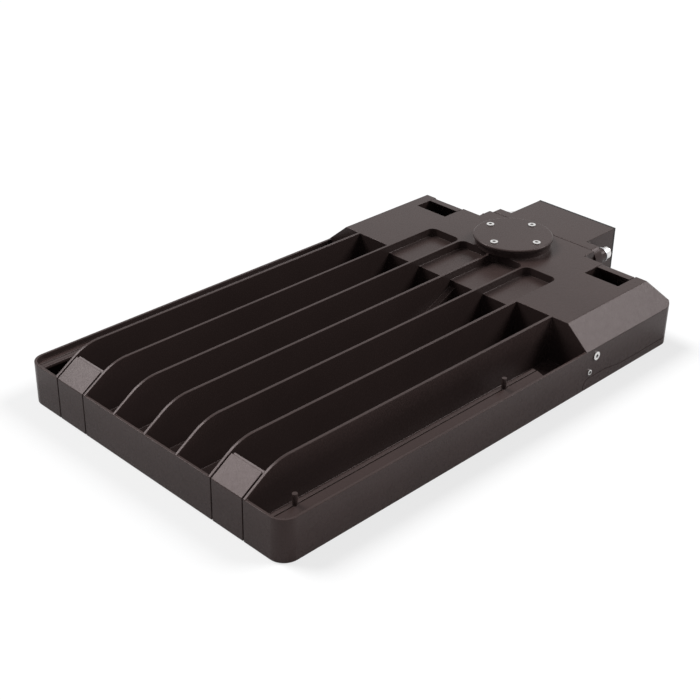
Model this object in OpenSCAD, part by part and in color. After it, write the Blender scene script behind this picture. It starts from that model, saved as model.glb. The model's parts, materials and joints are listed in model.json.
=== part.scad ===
// Shoebox area light: finned cast tray, driver compartment with a hinged door, and a bolted pole arm.
// Millimetres. X runs across the light, Y points out of the pole face, Z is up.
// The origin is the centre of the pole face, and the front of the light points along -Y.
// Each piece is drawn in light coordinates: X from the middle, Y from the front wall, Z from the bottom rim.

/* [Housing] */
// Width over the side walls
body_w = 340; // [320:1:360]
// Length from the front wall to the rear wall
body_len = 520; // [505:1:540]
// Height of the tray walls
tray_h = 41; // [39:0.5:43]
// Height of the flat top
body_h = 62.5; // [61:0.5:65]
// Thickness of the cast walls
wall = 2.8; // [2.4:0.1:3.2]
// Radius of the front corners in plan
front_corner_r = 15; // [10:0.5:18]
// Radius of the rear corners in plan
rear_corner_r = 12; // [8:0.5:15]
// Width of the sloped side of the compartment
side_slope_w = 24.8; // [22:0.2:27]
// Depth of the sloped rear of the compartment
rear_slope_d = 15; // [13:0.5:17]
// Length of the compartment behind the fins
compartment_len = 142; // [140:1:150]
// Height of the underside of the finned floor
floor_z = 12; // [12:0.1:13]
// Thickness of the finned floor
floor_t = 4.5; // [4:0.1:5]

/* [Fins] */
// Number of fins
fin_count = 7; // [7:1:7]
// Distance between fins
fin_pitch = 41.9; // [41:0.1:43]
// Thickness of a fin
fin_t = 3; // [2.4:0.1:3.4]
// Slope of the front of a fin in degrees
fin_slope = 33; // [30:1:36]
// Length of the blend from the slope to the flat top
fin_blend = 14.9; // [10:0.1:18]

/* [Side ledges] */
// Length of a ledge from the front wall
ledge_len = 322; // [300:1:340]
// Width of a ledge inside the wall
ledge_w = 16.8; // [15:0.2:18]
// Thickness of a ledge
ledge_t = 3.5; // [2.5:0.1:4]
// Width of the raised strip on the inner edge
strip_w = 5; // [4:0.1:6]
// Drop of the strip below the tray walls
strip_drop = 1.6; // [1:0.1:2.4]
// Drop of the ledge where it meets the wall
gutter_drop = 5; // [4:0.1:6]
// Width of the groove beside the strip
groove_w = 1.2; // [0.8:0.1:2]
// Radius of a post on the right ledge
post_r = 2.3; // [1.5:0.1:3]
// Height of a post above the strip
post_h = 10.5; // [8:0.5:12]
// Distance of the front post from the front wall
post_y = 26; // [22:1:40]
// Distance between the posts
post_pitch = 250; // [200:1:260]

/* [Front inserts] */
// Gap beside an insert
insert_gap = 1; // [0.6:0.1:1.4]
// Depth of an insert along its slope
insert_d = 22; // [18:0.5:26]
// Thickness of an insert's walls
insert_t = 2.8; // [2.2:0.1:3.4]
// Width of the lower lip behind the slope
insert_lip_w = 3; // [2:0.1:4]
// Drop of the lower lip
insert_lip_drop = 2.5; // [1.5:0.1:3]

/* [Compartment top] */
// Depth of the four recesses below the top
recess_d = 8.2; // [7:0.1:9]
// Length of a recess
recess_len = 66; // [60:1:70]
// Radius of the rear corners of a recess
recess_r = 7; // [5:0.5:9]
// Distance of the pedestal's centre behind the compartment wall
pedestal_y = 97.6; // [95:0.2:100]
// Radius of the pedestal
pedestal_r = 39; // [37:0.5:41]
// Height of the pedestal above the top
pedestal_h = 6.9; // [5:0.1:9]
// Radius of the port through the pedestal
port_r = 22; // [18:0.5:24]
// Radius of the cover plate
cover_r = 41; // [40:0.5:43]
// Thickness of the cover plate
cover_t = 3; // [2.5:0.1:4]
// Thickness of the gasket under the cover plate
cover_gasket_t = 0.8; // [0.5:0.1:1.5]
// Radius of the circle of cover screws
cover_screw_ring_r = 30.5; // [29:0.5:32]
// Height of the wire duct where it meets the compartment
duct_h = 31; // [26:0.5:34]
// Length of the wire duct
duct_len = 70; // [60:1:80]
// Width of the wire duct
duct_w = 6.5; // [6:0.1:8]

/* [Rear and latches] */
// Width of the raised rear that carries the arm
bulge_w = 139; // [137:1:142]
// Depth of the raised rear behind the rear wall
bulge_d = 2.4; // [2:0.1:3]
// Radius of the fillet at the side of the raised rear
bulge_fillet_r = 5; // [4:0.5:7]
// Distance of a latch's centre from the middle
latch_x = 112.5; // [111:0.5:114]
// Width of a latch
latch_w = 39; // [37:0.5:41]
// Thickness of a latch
latch_t = 8.5; // [7.5:0.1:9.5]
// Gap at each side of a latch
latch_gap = 0.5; // [0.4:0.1:1]
// Width of the slot in front of a latch at the top
slot_w = 12.5; // [11:0.5:14]
// Length of the finger scoop
scoop_len = 7.5; // [6:0.5:9]
// Depth of the finger scoop
scoop_d = 6; // [4:0.5:8]
// Distance of the latch pivot from the rear wall
latch_pivot_in = 10; // [9.5:0.1:10.5]
// Height of the latch pivot
latch_pivot_z = 9.5; // [9:0.1:10]
// Radius of the latch barrel
latch_barrel_r = 4.5; // [4.2:0.1:4.8]
// Radius of a latch pin
latch_pin_r = 1.5; // [1.2:0.1:2]

/* [Door] */
// Thickness of the door floor
door_t = 3; // [2.4:0.1:3.2]
// Thickness of the door lips
lip_t = 2.4; // [2:0.1:2.6]
// Height of the door lips
lip_h = 7.3; // [6.5:0.1:8]
// Distance of the hinge axis behind the compartment wall
hinge_in = 6.8; // [6.6:0.1:7]
// Height of the hinge axis
hinge_z = 4; // [3.8:0.1:4.2]
// Radius of the round end of the door
hinge_round_r = 7.2; // [7:0.1:7.4]
// Length of the raised lip behind the hinge axis
raised_lip_len = 26.2; // [24:0.2:30]
// Length of the slope behind the raised lip
lip_ramp_len = 25; // [20:1:30]
// Radius of the hinge pins
hinge_pin_r = 2.5; // [2:0.1:2.8]
// Gap between the door and the housing
door_gap = 0.4; // [0.3:0.05:0.5]

/* [Hinge screws] */
// Height of the large screw
large_screw_z = 32.6; // [31:0.2:34]
// Distance of the large screw behind the compartment wall
large_screw_in = 15.3; // [14:0.1:17]
// Height of the small screw
small_screw_z = 18.2; // [17.5:0.1:19.5]
// Radius of the large screw's head
large_head_r = 4.3; // [4:0.1:5]
// Radius of the small screw's head
small_head_r = 2.8; // [2.5:0.1:3.2]

/* [Arm] */
// Width of the arm's box
arm_w = 100.8; // [98:0.2:104]
// Height of the arm's box
arm_h = 53; // [52:0.5:54]
// Thickness of the arm's flange
flange_t = 11.8; // [11:0.1:13]
// Length of the arm's box behind the flange
box_len = 48.7; // [46:0.1:52]
// Radius of the round shoulders of the flange
shoulder_r = 19; // [18.5:0.1:19.5]
// Distance of a shoulder's centre from the middle
shoulder_x = 54; // [53:0.5:55]
// Height of a shoulder's centre
shoulder_z = 47; // [46:0.5:48]
// Wall of the arm's box
arm_wall = 4; // [3.5:0.1:5]
// Wall of the arm's pole face
pole_wall = 6; // [5:0.5:8]
// Distance of an arm bolt from the middle
bolt_x = 62; // [61.5:0.1:62]
// Height of an arm bolt
bolt_z = 48; // [47:0.5:49]
// Radius of an arm bolt
bolt_r = 4; // [3:0.5:4]
// Radius of the round boss under an arm bolt
bolt_boss_r = 7.5; // [7:0.1:8]
// Length of the round boss under an arm bolt
bolt_boss_len = 11; // [9:0.5:13]
// Thickness of the gasket between the arm and the housing
arm_gasket_t = 0.8; // [0.5:0.1:1.2]
// Thickness of the gasket on the pole face
pole_gasket_t = 2.3; // [1.5:0.1:3]

/* [Pole face] */
// Radius of a pole bolt hole
pole_hole_r = 5.5; // [5:0.1:6]
// Distance between the pole bolt holes
pole_hole_pitch = 64; // [60:1:68]
// Radius of the wire entry
wire_entry_r = 12.5; // [11:0.5:14]

/* [Light engine] */
// Distance between lens arrays across the light
array_pitch_x = 168; // [167:0.5:169]
// Distance between lens arrays along the light
array_pitch_y = 184; // [183:0.5:185]
// Width of a lens array
array_w = 158; // [156:0.5:160]
// Length of a lens array
array_len = 180; // [178:0.5:181]
// Thickness of a lens array's plate
lens_plate_t = 3; // [2.5:0.1:3.2]
// Distance between lenses
lens_pitch = 36; // [35:0.1:37]
// Radius of a lens at its foot
lens_r = 9; // [8:0.5:10]
// Height of a lens below its plate
lens_h = 4; // [3.5:0.1:4.5]
// Thickness of an LED board
board_t = 1.6; // [1.2:0.1:1.8]

/* [Driver and wiring] */
// Length of the driver across the light
driver_w = 150; // [130:1:156]
// Width of the driver
driver_d = 66; // [60:1:68]
// Height of the driver
driver_h = 33; // [28:0.5:33]
// Width and length of the surge protector
surge_size = 44; // [36:1:45]
// Height of the surge protector
surge_h = 25; // [20:0.5:28]
// Length of the terminal block
terminal_len = 44; // [36:1:46]
// Width of the terminal block
terminal_w = 22; // [18:1:26]
// Height of the terminal block
terminal_h = 18; // [14:0.5:22]
// Radius of an internal lead
lead_r = 1.1; // [0.8:0.1:1.3]

/* [Hidden] */
$fn = 64;

// Extra length of every cut past the face that it opens
overrun = 1;
// Clearance between pieces that lie against each other but don't press
seat_gap = 0.3;
// Clearance round a pin that turns, and round a screw in its thread
pin_gap = 0.05;

// Housing places
half_w = body_w / 2;
comp_y = body_len - compartment_len;
floor_top = floor_z + floor_t;
side_rise = (body_h - tray_h) / side_slope_w;
rear_rise = (body_h - tray_h) / rear_slope_d;
rear_slope_deg = atan(rear_rise);
inner_w = half_w - wall;
inner_top = body_h - wall;
fin_xs = [for (i = [0:fin_count - 1]) (i - (fin_count - 1) / 2) * fin_pitch];
fin_root_y = comp_y + wall / 2;
fin_corner_y = (body_h - tray_h) / tan(fin_slope);
fin_blend_r = fin_blend / tan(fin_slope / 2);
fin_blend_steps = 10;
bulge_y = body_len + bulge_d;
divider_y = comp_y - 1;
hinge_y = comp_y + hinge_in;
web_back_y = comp_y + 26;
bracket_zone = 4;

// Sealing frame above the door gasket
seal_z = lip_h + door_gap;
seal_t = 5;
seal_w = 10;
seal_side_w = 13.2;
seal_front_y = web_back_y - seal_w;
seal_rear_y = comp_y + 108;
gasket_w = 6;

// Insert places
insert_x0 = fin_xs[0] + fin_t / 2;
insert_x1 = fin_xs[1] - fin_t / 2;
insert_w = insert_x1 - insert_x0 - 2 * insert_gap;
insert_mid = (insert_x0 + insert_x1) / 2;
insert_top_z = tray_h + insert_d * tan(fin_slope);
insert_foot_z = floor_top + seat_gap;
insert_screw_r = 2;
insert_screw_x = 10;
insert_head_r = 3.5;
insert_head_h = 2.6;
insert_thread_len = 3.5;

// Recess and pedestal places
recess_z = body_h - recess_d;
recess_under_z = recess_z - wall;
recess_y = comp_y + recess_len;
pedestal_cy = comp_y + pedestal_y;
pedestal_top = body_h + pedestal_h;
pedestal_foot_w = 1.2;
pedestal_foot_h = 0.7;
cover_z = pedestal_top + cover_gasket_t;
cover_chamfer = 0.9;
cover_screw_r = 2.5;
cover_head_r = 4;
cover_head_h = 1.3;
cover_thread_len = 12;
socket_r = 1.7;
socket_d = 1;

// Latch places
latch_pivot_y = body_len - latch_pivot_in;
latch_bar_back = body_len - rear_slope_d - 2;
latch_bar_front = latch_bar_back - latch_t;
slot_y = latch_bar_front - slot_w;
scoop_y = slot_y - scoop_len;
catch_z = 31;
catch_y = body_len - 20;
tooth_z = catch_z + 2;
tooth_y = catch_y + 1;
tooth_t = 3;
tooth_rise = 4;
latch_skin_t = 2.7;
latch_plate_t = 7;
latch_clear = 5.5;
latch_pocket_w = latch_w + 2 * latch_gap;
latch_barrel_w = 25;
latch_ear_t = 3.7;
latch_ear_gap = 0.3;
latch_foot_w = 8;
latch_pin_len = latch_barrel_w + 2 * (latch_ear_gap + latch_ear_t);

// Hinge places
hinge_ear_x = half_w - 7;
hinge_ear_t = 4.4;
bracket_x = inner_w - 3;
bracket_t = 3;
bracket_foot_r = 3.8;
bracket_top_r = 5.6;
bracket_slot_gap = 0.4;
link_share = 0.9;
curl_t = 2.8;
large_screw_y = comp_y + large_screw_in;
small_screw_y = hinge_y;
large_screw_r = 2.5;
small_screw_r = 1.5;
side_head_h = 1.4;

// Arm places
arm_bottom = body_h - arm_h;
flange_y = bulge_y + arm_gasket_t;
box_y = flange_y + flange_t;
pole_plate_y = box_y + box_len;
pole_y = pole_plate_y + pole_gasket_t;
pole_z = body_h - arm_h / 2;
half_arm = arm_w / 2;
arm_in_x = half_arm - arm_wall;
arm_hole_r = 14;
bolt_clear = 0.5;
bolt_head_r = 6.5;
bolt_head_h = 8;
bolt_grip = 16;
bolt_socket_r = 3.4;
bolt_socket_d = 4;
washer_r = 8;
washer_t = 1.6;
washer_y = box_y + bolt_boss_len;
bulge_boss_r = 7.3;
bulge_boss_len = 22;
arm_cover_t = 2.5;
arm_cover_gap = 0.5;
arm_boss_r = 5;
arm_boss_len = 14;
arm_cover_screw_r = 1.9;
arm_cover_head_r = 3.6;
arm_cover_head_h = 2.2;
arm_gasket_in = 1.5;

// Light engine places
zone_y = (wall + divider_y - wall) / 2;
array_centres = [for (j = [-1, 1], i = [-1, 1]) [i * array_pitch_x / 2, zone_y + j * array_pitch_y / 2]];
lens_cols = 4;
lens_rows = 5;
lens_top_share = 0.55;
board_z = floor_z - board_t;
lens_plate_z = board_z - lens_plate_t;
ring_w = 4;
ring_in = 1;
board_in = ring_in + ring_w + 1;
chip_w = 5;
chip_t = 0.8;
chip_pocket_r = 4.5;
chip_pocket_d = 1.4;
lens_screw_r = 1.5;
lens_head_r = 3.2;
lens_head_h = 1.8;
lens_thread_len = 3;
tab_len = 8;
tab_w = 8;

// Wire duct places
duct_x0 = fin_t / 2;
duct_x1 = duct_x0 + duct_w;
duct_wall = 1.6;
duct_y0 = comp_y - duct_len;
duct_hole_y = comp_y - 47;
duct_mid_x = duct_x0 + duct_w / 2;

// Driver places
driver_y0 = comp_y + 26;
driver_top = recess_under_z;
tab_t = 2.5;
driver_tab = 9;
surge_x0 = 95;
surge_y0 = comp_y + 24;
terminal_y0 = comp_y + 26;
terminal_x1 = -95;
component_screw_r = 2;
component_head_r = 3.6;
component_head_h = 2.2;
component_thread_len = 2.2;
component_tab = 9;
ground_x = -125;
ground_y = terminal_y0 + terminal_w + 20;
ground_boss_len = 7;
ground_boss_r = 5;
ground_head_r = 5;
ground_head_h = 3.2;
lead_sides = 8;
lead_reference = [1, 2, 3];
grommet_collar_r = 16.5;
grommet_collar_t = 3;
grommet_bore_r = 9;

// Moves light coordinates into the frame of the pole face
module light_frame() {
  translate([0, -pole_y, -pole_z]) children();
}

// Box between two corners
module block(x0, x1, y0, y1, z0, z1) {
  translate([x0, y0, z0]) cube([x1 - x0, y1 - y0, z1 - z0]);
}

// Rectangle between two corners
module area(x0, x1, y0, y1) {
  translate([x0, y0]) square([x1 - x0, y1 - y0]);
}

// Extrudes an outline drawn in Y and Z along X
module along_x(x0, x1) {
  translate([x0, 0, 0]) rotate([90, 0, 90]) linear_extrude(x1 - x0) children();
}

// Extrudes an outline drawn in X and Z along Y
module along_y(y0, y1) {
  translate([0, y1, 0]) rotate([90, 0, 0]) linear_extrude(y1 - y0) children();
}

// Cylinder whose axis runs along X
module rod_x(x0, x1, y, z, r) {
  translate([x0, y, z]) rotate([0, 90, 0]) cylinder(r = r, h = x1 - x0);
}

// Cylinder whose axis runs along Y
module rod_y(y0, y1, x, z, r) {
  translate([x, y1, z]) rotate([90, 0, 0]) cylinder(r = r, h = y1 - y0);
}

// Repeats a right-hand piece on both sides
module both_sides() {
  children();
  mirror([1, 0, 0]) children();
}

// Plan outline of the housing, drawn in by inset
module plan_2d(inset) {
  area(-half_w + inset, half_w - inset, front_corner_r, body_len - rear_corner_r);
  area(-half_w + front_corner_r, half_w - front_corner_r, inset, comp_y);
  area(-half_w + rear_corner_r, half_w - rear_corner_r, comp_y, body_len - inset);
  for (side = [-1, 1]) {
    translate([side * (half_w - front_corner_r), front_corner_r]) circle(r = front_corner_r - inset);
    translate([side * (half_w - rear_corner_r), body_len - rear_corner_r]) circle(r = rear_corner_r - inset);
  }
}

// Section of the compartment across the light: upright walls, sloped sides and a flat top
module side_slope_2d(inset) {
  w = half_w - inset;
  shift = inset * sqrt(1 + side_rise * side_rise);
  wall_z = tray_h + inset * side_rise - shift;
  top_x = half_w - (body_h - inset - tray_h + shift) / side_rise;
  polygon([[-w, -overrun], [w, -overrun], [w, wall_z], [top_x, body_h - inset],
           [-top_x, body_h - inset], [-w, wall_z]]);
}

// Section of the compartment along the light, with the sloped rear
module rear_slope_2d(inset) {
  back = body_len - inset;
  shift = inset * sqrt(1 + rear_rise * rear_rise);
  wall_z = tray_h + inset * rear_rise - shift;
  top_y = body_len - (body_h - inset - tray_h + shift) / rear_rise;
  polygon([[comp_y - overrun, -overrun], [back, -overrun], [back, wall_z],
           [top_y, body_h - inset], [comp_y - overrun, body_h - inset]]);
}

// Compartment volume, drawn in by inset from the outside
module compartment_volume(inset) {
  intersection() {
    linear_extrude(body_h - inset) plan_2d(inset);
    along_y(comp_y + inset, body_len) side_slope_2d(inset);
    along_x(-half_w, half_w) rear_slope_2d(inset);
  }
}

// Side outline of a fin: sloped nose, round blend and flat top
module fin_2d() {
  blend_points = [for (i = [0:fin_blend_steps])
    let (a = fin_slope * (1 - i / fin_blend_steps))
    [fin_corner_y + fin_blend - fin_blend_r * sin(a), body_h - fin_blend_r * (1 - cos(a))]];
  polygon(concat([[0, floor_z + floor_t / 2], [0, tray_h]], blend_points,
                 [[fin_root_y, body_h], [fin_root_y, floor_z + floor_t / 2]]));
}

// Section of the right side ledge, drawn in X and Z
module ledge_2d() {
  strip_z = tray_h - strip_drop;
  wall_z = tray_h - gutter_drop;
  edge = inner_w - ledge_w;
  groove_x = edge + strip_w;
  outer = half_w - wall / 2;
  groove_d = ledge_t / 2;
  polygon([[outer, wall_z], [groove_x + groove_w, strip_z], [groove_x + groove_w, strip_z - groove_d],
           [groove_x, strip_z - groove_d], [groove_x, strip_z], [edge + groove_w, strip_z],
           [edge, strip_z - groove_w], [edge, strip_z - ledge_t], [groove_x, strip_z - ledge_t],
           [outer, wall_z - ledge_t]]);
}

// Side ledges with the two posts on the right one
module ledges() {
  both_sides() intersection() {
    along_y(wall / 2, ledge_len) ledge_2d();
    linear_extrude(body_h) plan_2d(wall / 2);
  }
  strip_z = tray_h - strip_drop;
  for (i = [0, 1])
    translate([inner_w - ledge_w + strip_w, post_y + i * post_pitch, strip_z - ledge_t / 2])
      cylinder(r = post_r, h = post_h + ledge_t / 2);
}

// Fins and the floor that they stand on
module fins_and_floor() {
  for (x = fin_xs) along_x(x - fin_t / 2, x + fin_t / 2) fin_2d();
  translate([0, 0, floor_z]) linear_extrude(floor_t) intersection() {
    plan_2d(wall / 2);
    area(-half_w, half_w, 0, fin_root_y);
  }
  block(-inner_w + bracket_zone, inner_w - bracket_zone, comp_y, web_back_y, floor_z, floor_top);
  block(-inner_w - wall / 2, inner_w + wall / 2, divider_y - wall, divider_y, 0, floor_top);
}

// Block of ribs and recesses behind the fins
module recess_block() {
  x1 = fin_xs[fin_count - 2] + fin_t / 2;
  block(-x1, x1, comp_y, recess_y + wall, recess_under_z, body_h);
}

// The four recesses, open to the channels in front
module recess_cuts() {
  translate([0, 0, recess_z]) linear_extrude(recess_d + overrun)
    for (i = [1:fin_count - 3]) {
      x0 = fin_xs[i] + fin_t / 2;
      x1 = fin_xs[i + 1] - fin_t / 2;
      area(x0, x1, comp_y - overrun, recess_y - recess_r);
      area(x0 + recess_r, x1 - recess_r, comp_y, recess_y);
      translate([x0 + recess_r, recess_y - recess_r]) circle(r = recess_r);
      translate([x1 - recess_r, recess_y - recess_r]) circle(r = recess_r);
    }
}

// Round pedestal under the cover plate
module pedestal() {
  translate([0, pedestal_cy, recess_under_z]) {
    cylinder(r = pedestal_r, h = pedestal_top - recess_under_z);
    cylinder(r = pedestal_r + pedestal_foot_w, h = body_h + pedestal_foot_h - recess_under_z);
  }
}

// Places of the cover screws
module at_cover_screws() {
  for (a = [0:90:270])
    translate([0, pedestal_cy, 0]) rotate([0, 0, a]) translate([cover_screw_ring_r, 0, 0]) children();
}

// Port and screw holes of the pedestal
module pedestal_cuts() {
  translate([0, pedestal_cy, recess_under_z - overrun])
    cylinder(r = port_r, h = pedestal_top - recess_under_z + 2 * overrun);
  at_cover_screws() translate([0, 0, pedestal_top - cover_thread_len])
    cylinder(r = cover_screw_r + pin_gap, h = cover_thread_len + overrun);
}

// Side outline of a latch pocket, drawn in Y and Z and grown by grow
module pocket_2d(grow) {
  back = body_len + bulge_d + overrun;
  top = body_h + (grow > 0 ? 0 : overrun);
  bottom = grow > 0 ? 0 : -overrun;
  polygon([[scoop_y - grow, top], [scoop_y - grow, body_h], [slot_y - grow, body_h - scoop_d],
           [slot_y - grow, catch_z - grow], [catch_y - grow, catch_z - grow], [catch_y - grow, bottom],
           [back, bottom], [back, top]]);
}

// Walls round the latch pockets
module pocket_walls() {
  both_sides() intersection() {
    along_x(latch_x - latch_pocket_w / 2 - wall, latch_x + latch_pocket_w / 2 + wall) pocket_2d(wall);
    compartment_volume(0);
  }
}

// Space of the latch pockets
module pocket_cuts() {
  both_sides() along_x(latch_x - latch_pocket_w / 2, latch_x + latch_pocket_w / 2) pocket_2d(0);
}

// Raised rear that carries the arm, with the fillets beside it
module rear_bulge(inset) {
  w = bulge_w / 2 - inset;
  block(-w, w, recess_y, bulge_y - inset, inset > 0 ? seal_z + seal_t : 0, body_h - inset);
}

// Fillets between the raised rear and the sloped rear
module bulge_fillets() {
  both_sides()
    translate([bulge_w / 2, body_len, tray_h])
      rotate([90 - rear_slope_deg, 0, 0])
        linear_extrude((body_h - tray_h) / sin(rear_slope_deg) - bulge_fillet_r / 2)
          difference() {
            translate([-wall / 2, -wall / 2]) square(bulge_fillet_r + wall / 2);
            translate([bulge_fillet_r, bulge_fillet_r]) circle(r = bulge_fillet_r);
          }
}

// Bosses inside the raised rear for the arm bolts
module bulge_bosses() {
  both_sides() rod_y(bulge_y - bulge_boss_len, bulge_y, bolt_x, bolt_z, bulge_boss_r);
}

// Frame that presses on the door gasket
module sealing_frame() {
  difference() {
    union() {
      translate([0, 0, seal_z]) linear_extrude(seal_t) intersection() {
        plan_2d(wall / 2);
        area(-half_w, half_w, web_back_y, body_len);
      }
      block(-inner_w + bracket_zone, inner_w - bracket_zone, seal_front_y, web_back_y + wall,
            seal_z, floor_z + floor_t / 2);
    }
    block(-inner_w + seal_side_w, inner_w - seal_side_w, web_back_y, seal_rear_y,
          seal_z - overrun, seal_z + seal_t + overrun);
  }
}

// Side outline of the door's lips and round end, drawn in Y and Z and grown by gap
module door_side_2d(gap) {
  lip_top = hinge_z + hinge_round_r + gap;
  raised_end = hinge_y + raised_lip_len;
  translate([hinge_y, hinge_z]) circle(r = hinge_round_r + gap);
  polygon([[hinge_y, -overrun], [hinge_y, lip_top], [raised_end, lip_top],
           [raised_end + lip_ramp_len, lip_h + gap], [body_len + gap, lip_h + gap],
           [body_len + gap, -overrun]]);
}

// Space that the door takes from the housing
module door_cut() {
  along_x(inner_w - overrun, half_w + overrun) door_side_2d(door_gap);
  along_x(-half_w - overrun, -inner_w + overrun) door_side_2d(door_gap);
  along_x(-inner_w, inner_w) {
    translate([hinge_y, hinge_z]) circle(r = hinge_round_r + door_gap);
    area(hinge_y, body_len + door_gap, -overrun, lip_h + door_gap);
  }
}

// Side outline of the wire duct beside the middle fin
module duct_2d(inset) {
  rise = duct_h / duct_len;
  top_shift = inset * sqrt(1 + rise * rise);
  end_y = fin_root_y + (inset > 0 ? wall + overrun : 0);
  low_z = floor_top - (inset > 0 ? 0 : floor_t / 2);
  start_y = duct_y0 + top_shift / rise;
  polygon([[start_y, floor_top], [end_y, floor_top + (end_y - start_y) * rise], [end_y, low_z],
           [start_y, low_z]]);
}

// Passage for the LED leads through the duct, the floor and the compartment wall
module duct_cuts() {
  along_x(duct_x0 + duct_wall, duct_x1 - duct_wall) duct_2d(duct_wall);
  translate([duct_mid_x, duct_hole_y, floor_z - overrun])
    cylinder(r = duct_w / 2 - duct_wall, h = floor_t + 2 * overrun);
}

// Notches in the front wall for the inserts
module insert_notches() {
  both_sides() {
    block(-insert_x1, -insert_x0, -overrun, insert_t + door_gap, -overrun, tray_h + overrun);
    for (side = [-1, 1])
      translate([-insert_mid + side * insert_screw_x, insert_d / 2, floor_top - insert_thread_len])
        cylinder(r = insert_screw_r + pin_gap, h = insert_thread_len + overrun);
  }
}

// Screw holes in the side walls for the hinge brackets
module side_screw_holes() {
  both_sides() {
    rod_x(inner_w - overrun, half_w + overrun, large_screw_y, large_screw_z, large_screw_r + pin_gap);
    rod_x(inner_w - overrun, half_w + overrun, small_screw_y, small_screw_z, small_screw_r + pin_gap);
  }
}

// Holes in the rear for the arm bolts and the wires
module rear_holes() {
  both_sides() rod_y(bulge_y - bulge_boss_len - overrun, bulge_y + overrun, bolt_x, bolt_z, bolt_r + pin_gap);
  rod_y(bulge_y - 2 * wall, bulge_y + overrun, 0, pole_z, arm_hole_r);
}

// Places of the lens screws of one array
module at_lens_screws() {
  for (centre = array_centres, i = [-1, 1], j = [-1, 1])
    translate([centre[0] + i * lens_pitch, centre[1] + j * 1.5 * lens_pitch, 0]) children();
}

// Threaded holes above the inner components
module component_holes() {
  at_driver_screws() cylinder(r = component_screw_r + pin_gap, h = component_thread_len + pin_gap);
  at_top_screws() cylinder(r = component_screw_r + pin_gap, h = component_thread_len + pin_gap);
  translate([ground_x, ground_y, inner_top - ground_boss_len - overrun])
    cylinder(r = component_screw_r + pin_gap, h = ground_boss_len + overrun);
}

// One-piece casting
module housing() {
  color([0.30, 0.26, 0.25]) light_frame() difference() {
    union() {
      difference() {
        union() {
          linear_extrude(tray_h) plan_2d(0);
          compartment_volume(0);
          rear_bulge(0);
          bulge_fillets();
        }
        linear_extrude(2 * body_h, center = true) intersection() {
          plan_2d(wall);
          area(-half_w, half_w, 0, comp_y);
        }
        compartment_volume(wall);
        block(-inner_w, inner_w, comp_y + wall, body_len - rear_corner_r, -overrun, tray_h / 2);
        rear_bulge(wall);
      }
      fins_and_floor();
      ledges();
      recess_block();
      pedestal();
      pocket_walls();
      sealing_frame();
      bulge_bosses();
      translate([ground_x, ground_y, inner_top - ground_boss_len])
        cylinder(r = ground_boss_r, h = ground_boss_len + wall / 2);
      along_x(duct_x0 - fin_t / 2, duct_x1) duct_2d(0);
    }
    recess_cuts();
    pedestal_cuts();
    pocket_cuts();
    door_cut();
    duct_cuts();
    insert_notches();
    side_screw_holes();
    rear_holes();
    component_holes();
    at_lens_screws() translate([0, 0, floor_z - overrun])
      cylinder(r = lens_screw_r + pin_gap, h = lens_thread_len + overrun);
  }
}

// Shell outline of an insert, drawn in Y and Z
module insert_2d(inset) {
  rise = tan(fin_slope);
  drop = inset / cos(fin_slope);
  back = insert_d + insert_lip_w + (inset > 0 ? overrun : 0);
  lip_z = insert_top_z - insert_lip_drop;
  polygon([[inset, insert_foot_z + inset], [inset, tray_h + inset * rise - drop],
           [insert_d, insert_top_z - drop], [insert_d, lip_z - drop],
           [back, lip_z + (back - insert_d) * rise - drop], [back, insert_foot_z + inset]]);
}

// Wedge block that closes one channel at the front wall
module front_insert(mid) {
  x0 = mid - insert_w / 2;
  x1 = mid + insert_w / 2;
  color([0.34, 0.30, 0.29]) light_frame() difference() {
    union() {
      along_x(x0, x1) insert_2d(0);
      block(x0, x1, 0, insert_t, 0, tray_h / 2);
    }
    along_x(x0 + insert_t, x1 - insert_t) insert_2d(insert_t);
    for (side = [-1, 1])
      translate([mid + side * insert_screw_x, insert_d / 2, insert_foot_z - overrun])
        cylinder(r = insert_screw_r + pin_gap, h = insert_t + 2 * overrun);
  }
}

module front_insert_left() {
  front_insert(insert_mid);
}

module front_insert_right() {
  front_insert(-insert_mid);
}

// Screw that stands on z = 0 with its shank below
module screw(shank_r, shank_len, head_r, head_h, recess_r, recess_depth) {
  difference() {
    union() {
      translate([0, 0, -shank_len]) cylinder(r = shank_r, h = shank_len + head_h / 2);
      cylinder(r = head_r, h = head_h);
    }
    translate([0, 0, head_h - recess_depth]) cylinder(r = recess_r, h = recess_depth + overrun, $fn = 6);
  }
}

module insert_screws() {
  shank = insert_t + seat_gap + insert_thread_len - seat_gap;
  color([0.72, 0.72, 0.74]) light_frame()
    for (mid = [-insert_mid, insert_mid], side = [-1, 1])
      translate([mid + side * insert_screw_x, insert_d / 2, insert_foot_z + insert_t])
        screw(insert_screw_r, shank, insert_head_r, insert_head_h, socket_r, socket_d);
}

// Part of the door's plan behind the hinge axis, drawn in by inset
module door_plan_2d(inset) {
  intersection() {
    plan_2d(inset);
    area(-half_w, half_w, hinge_y, body_len);
  }
}

// Ears that hold the latch pins on the right
module latch_ears() {
  for (side = [-1, 1]) {
    ear_mid = latch_x + side * (latch_barrel_w / 2 + latch_ear_gap + latch_ear_t / 2);
    along_x(ear_mid - latch_ear_t / 2, ear_mid + latch_ear_t / 2) {
      translate([latch_pivot_y, latch_pivot_z]) circle(r = latch_barrel_r);
      area(latch_pivot_y - latch_foot_w / 2, latch_pivot_y + latch_foot_w / 2, door_t / 2, latch_pivot_z);
    }
  }
}

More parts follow.
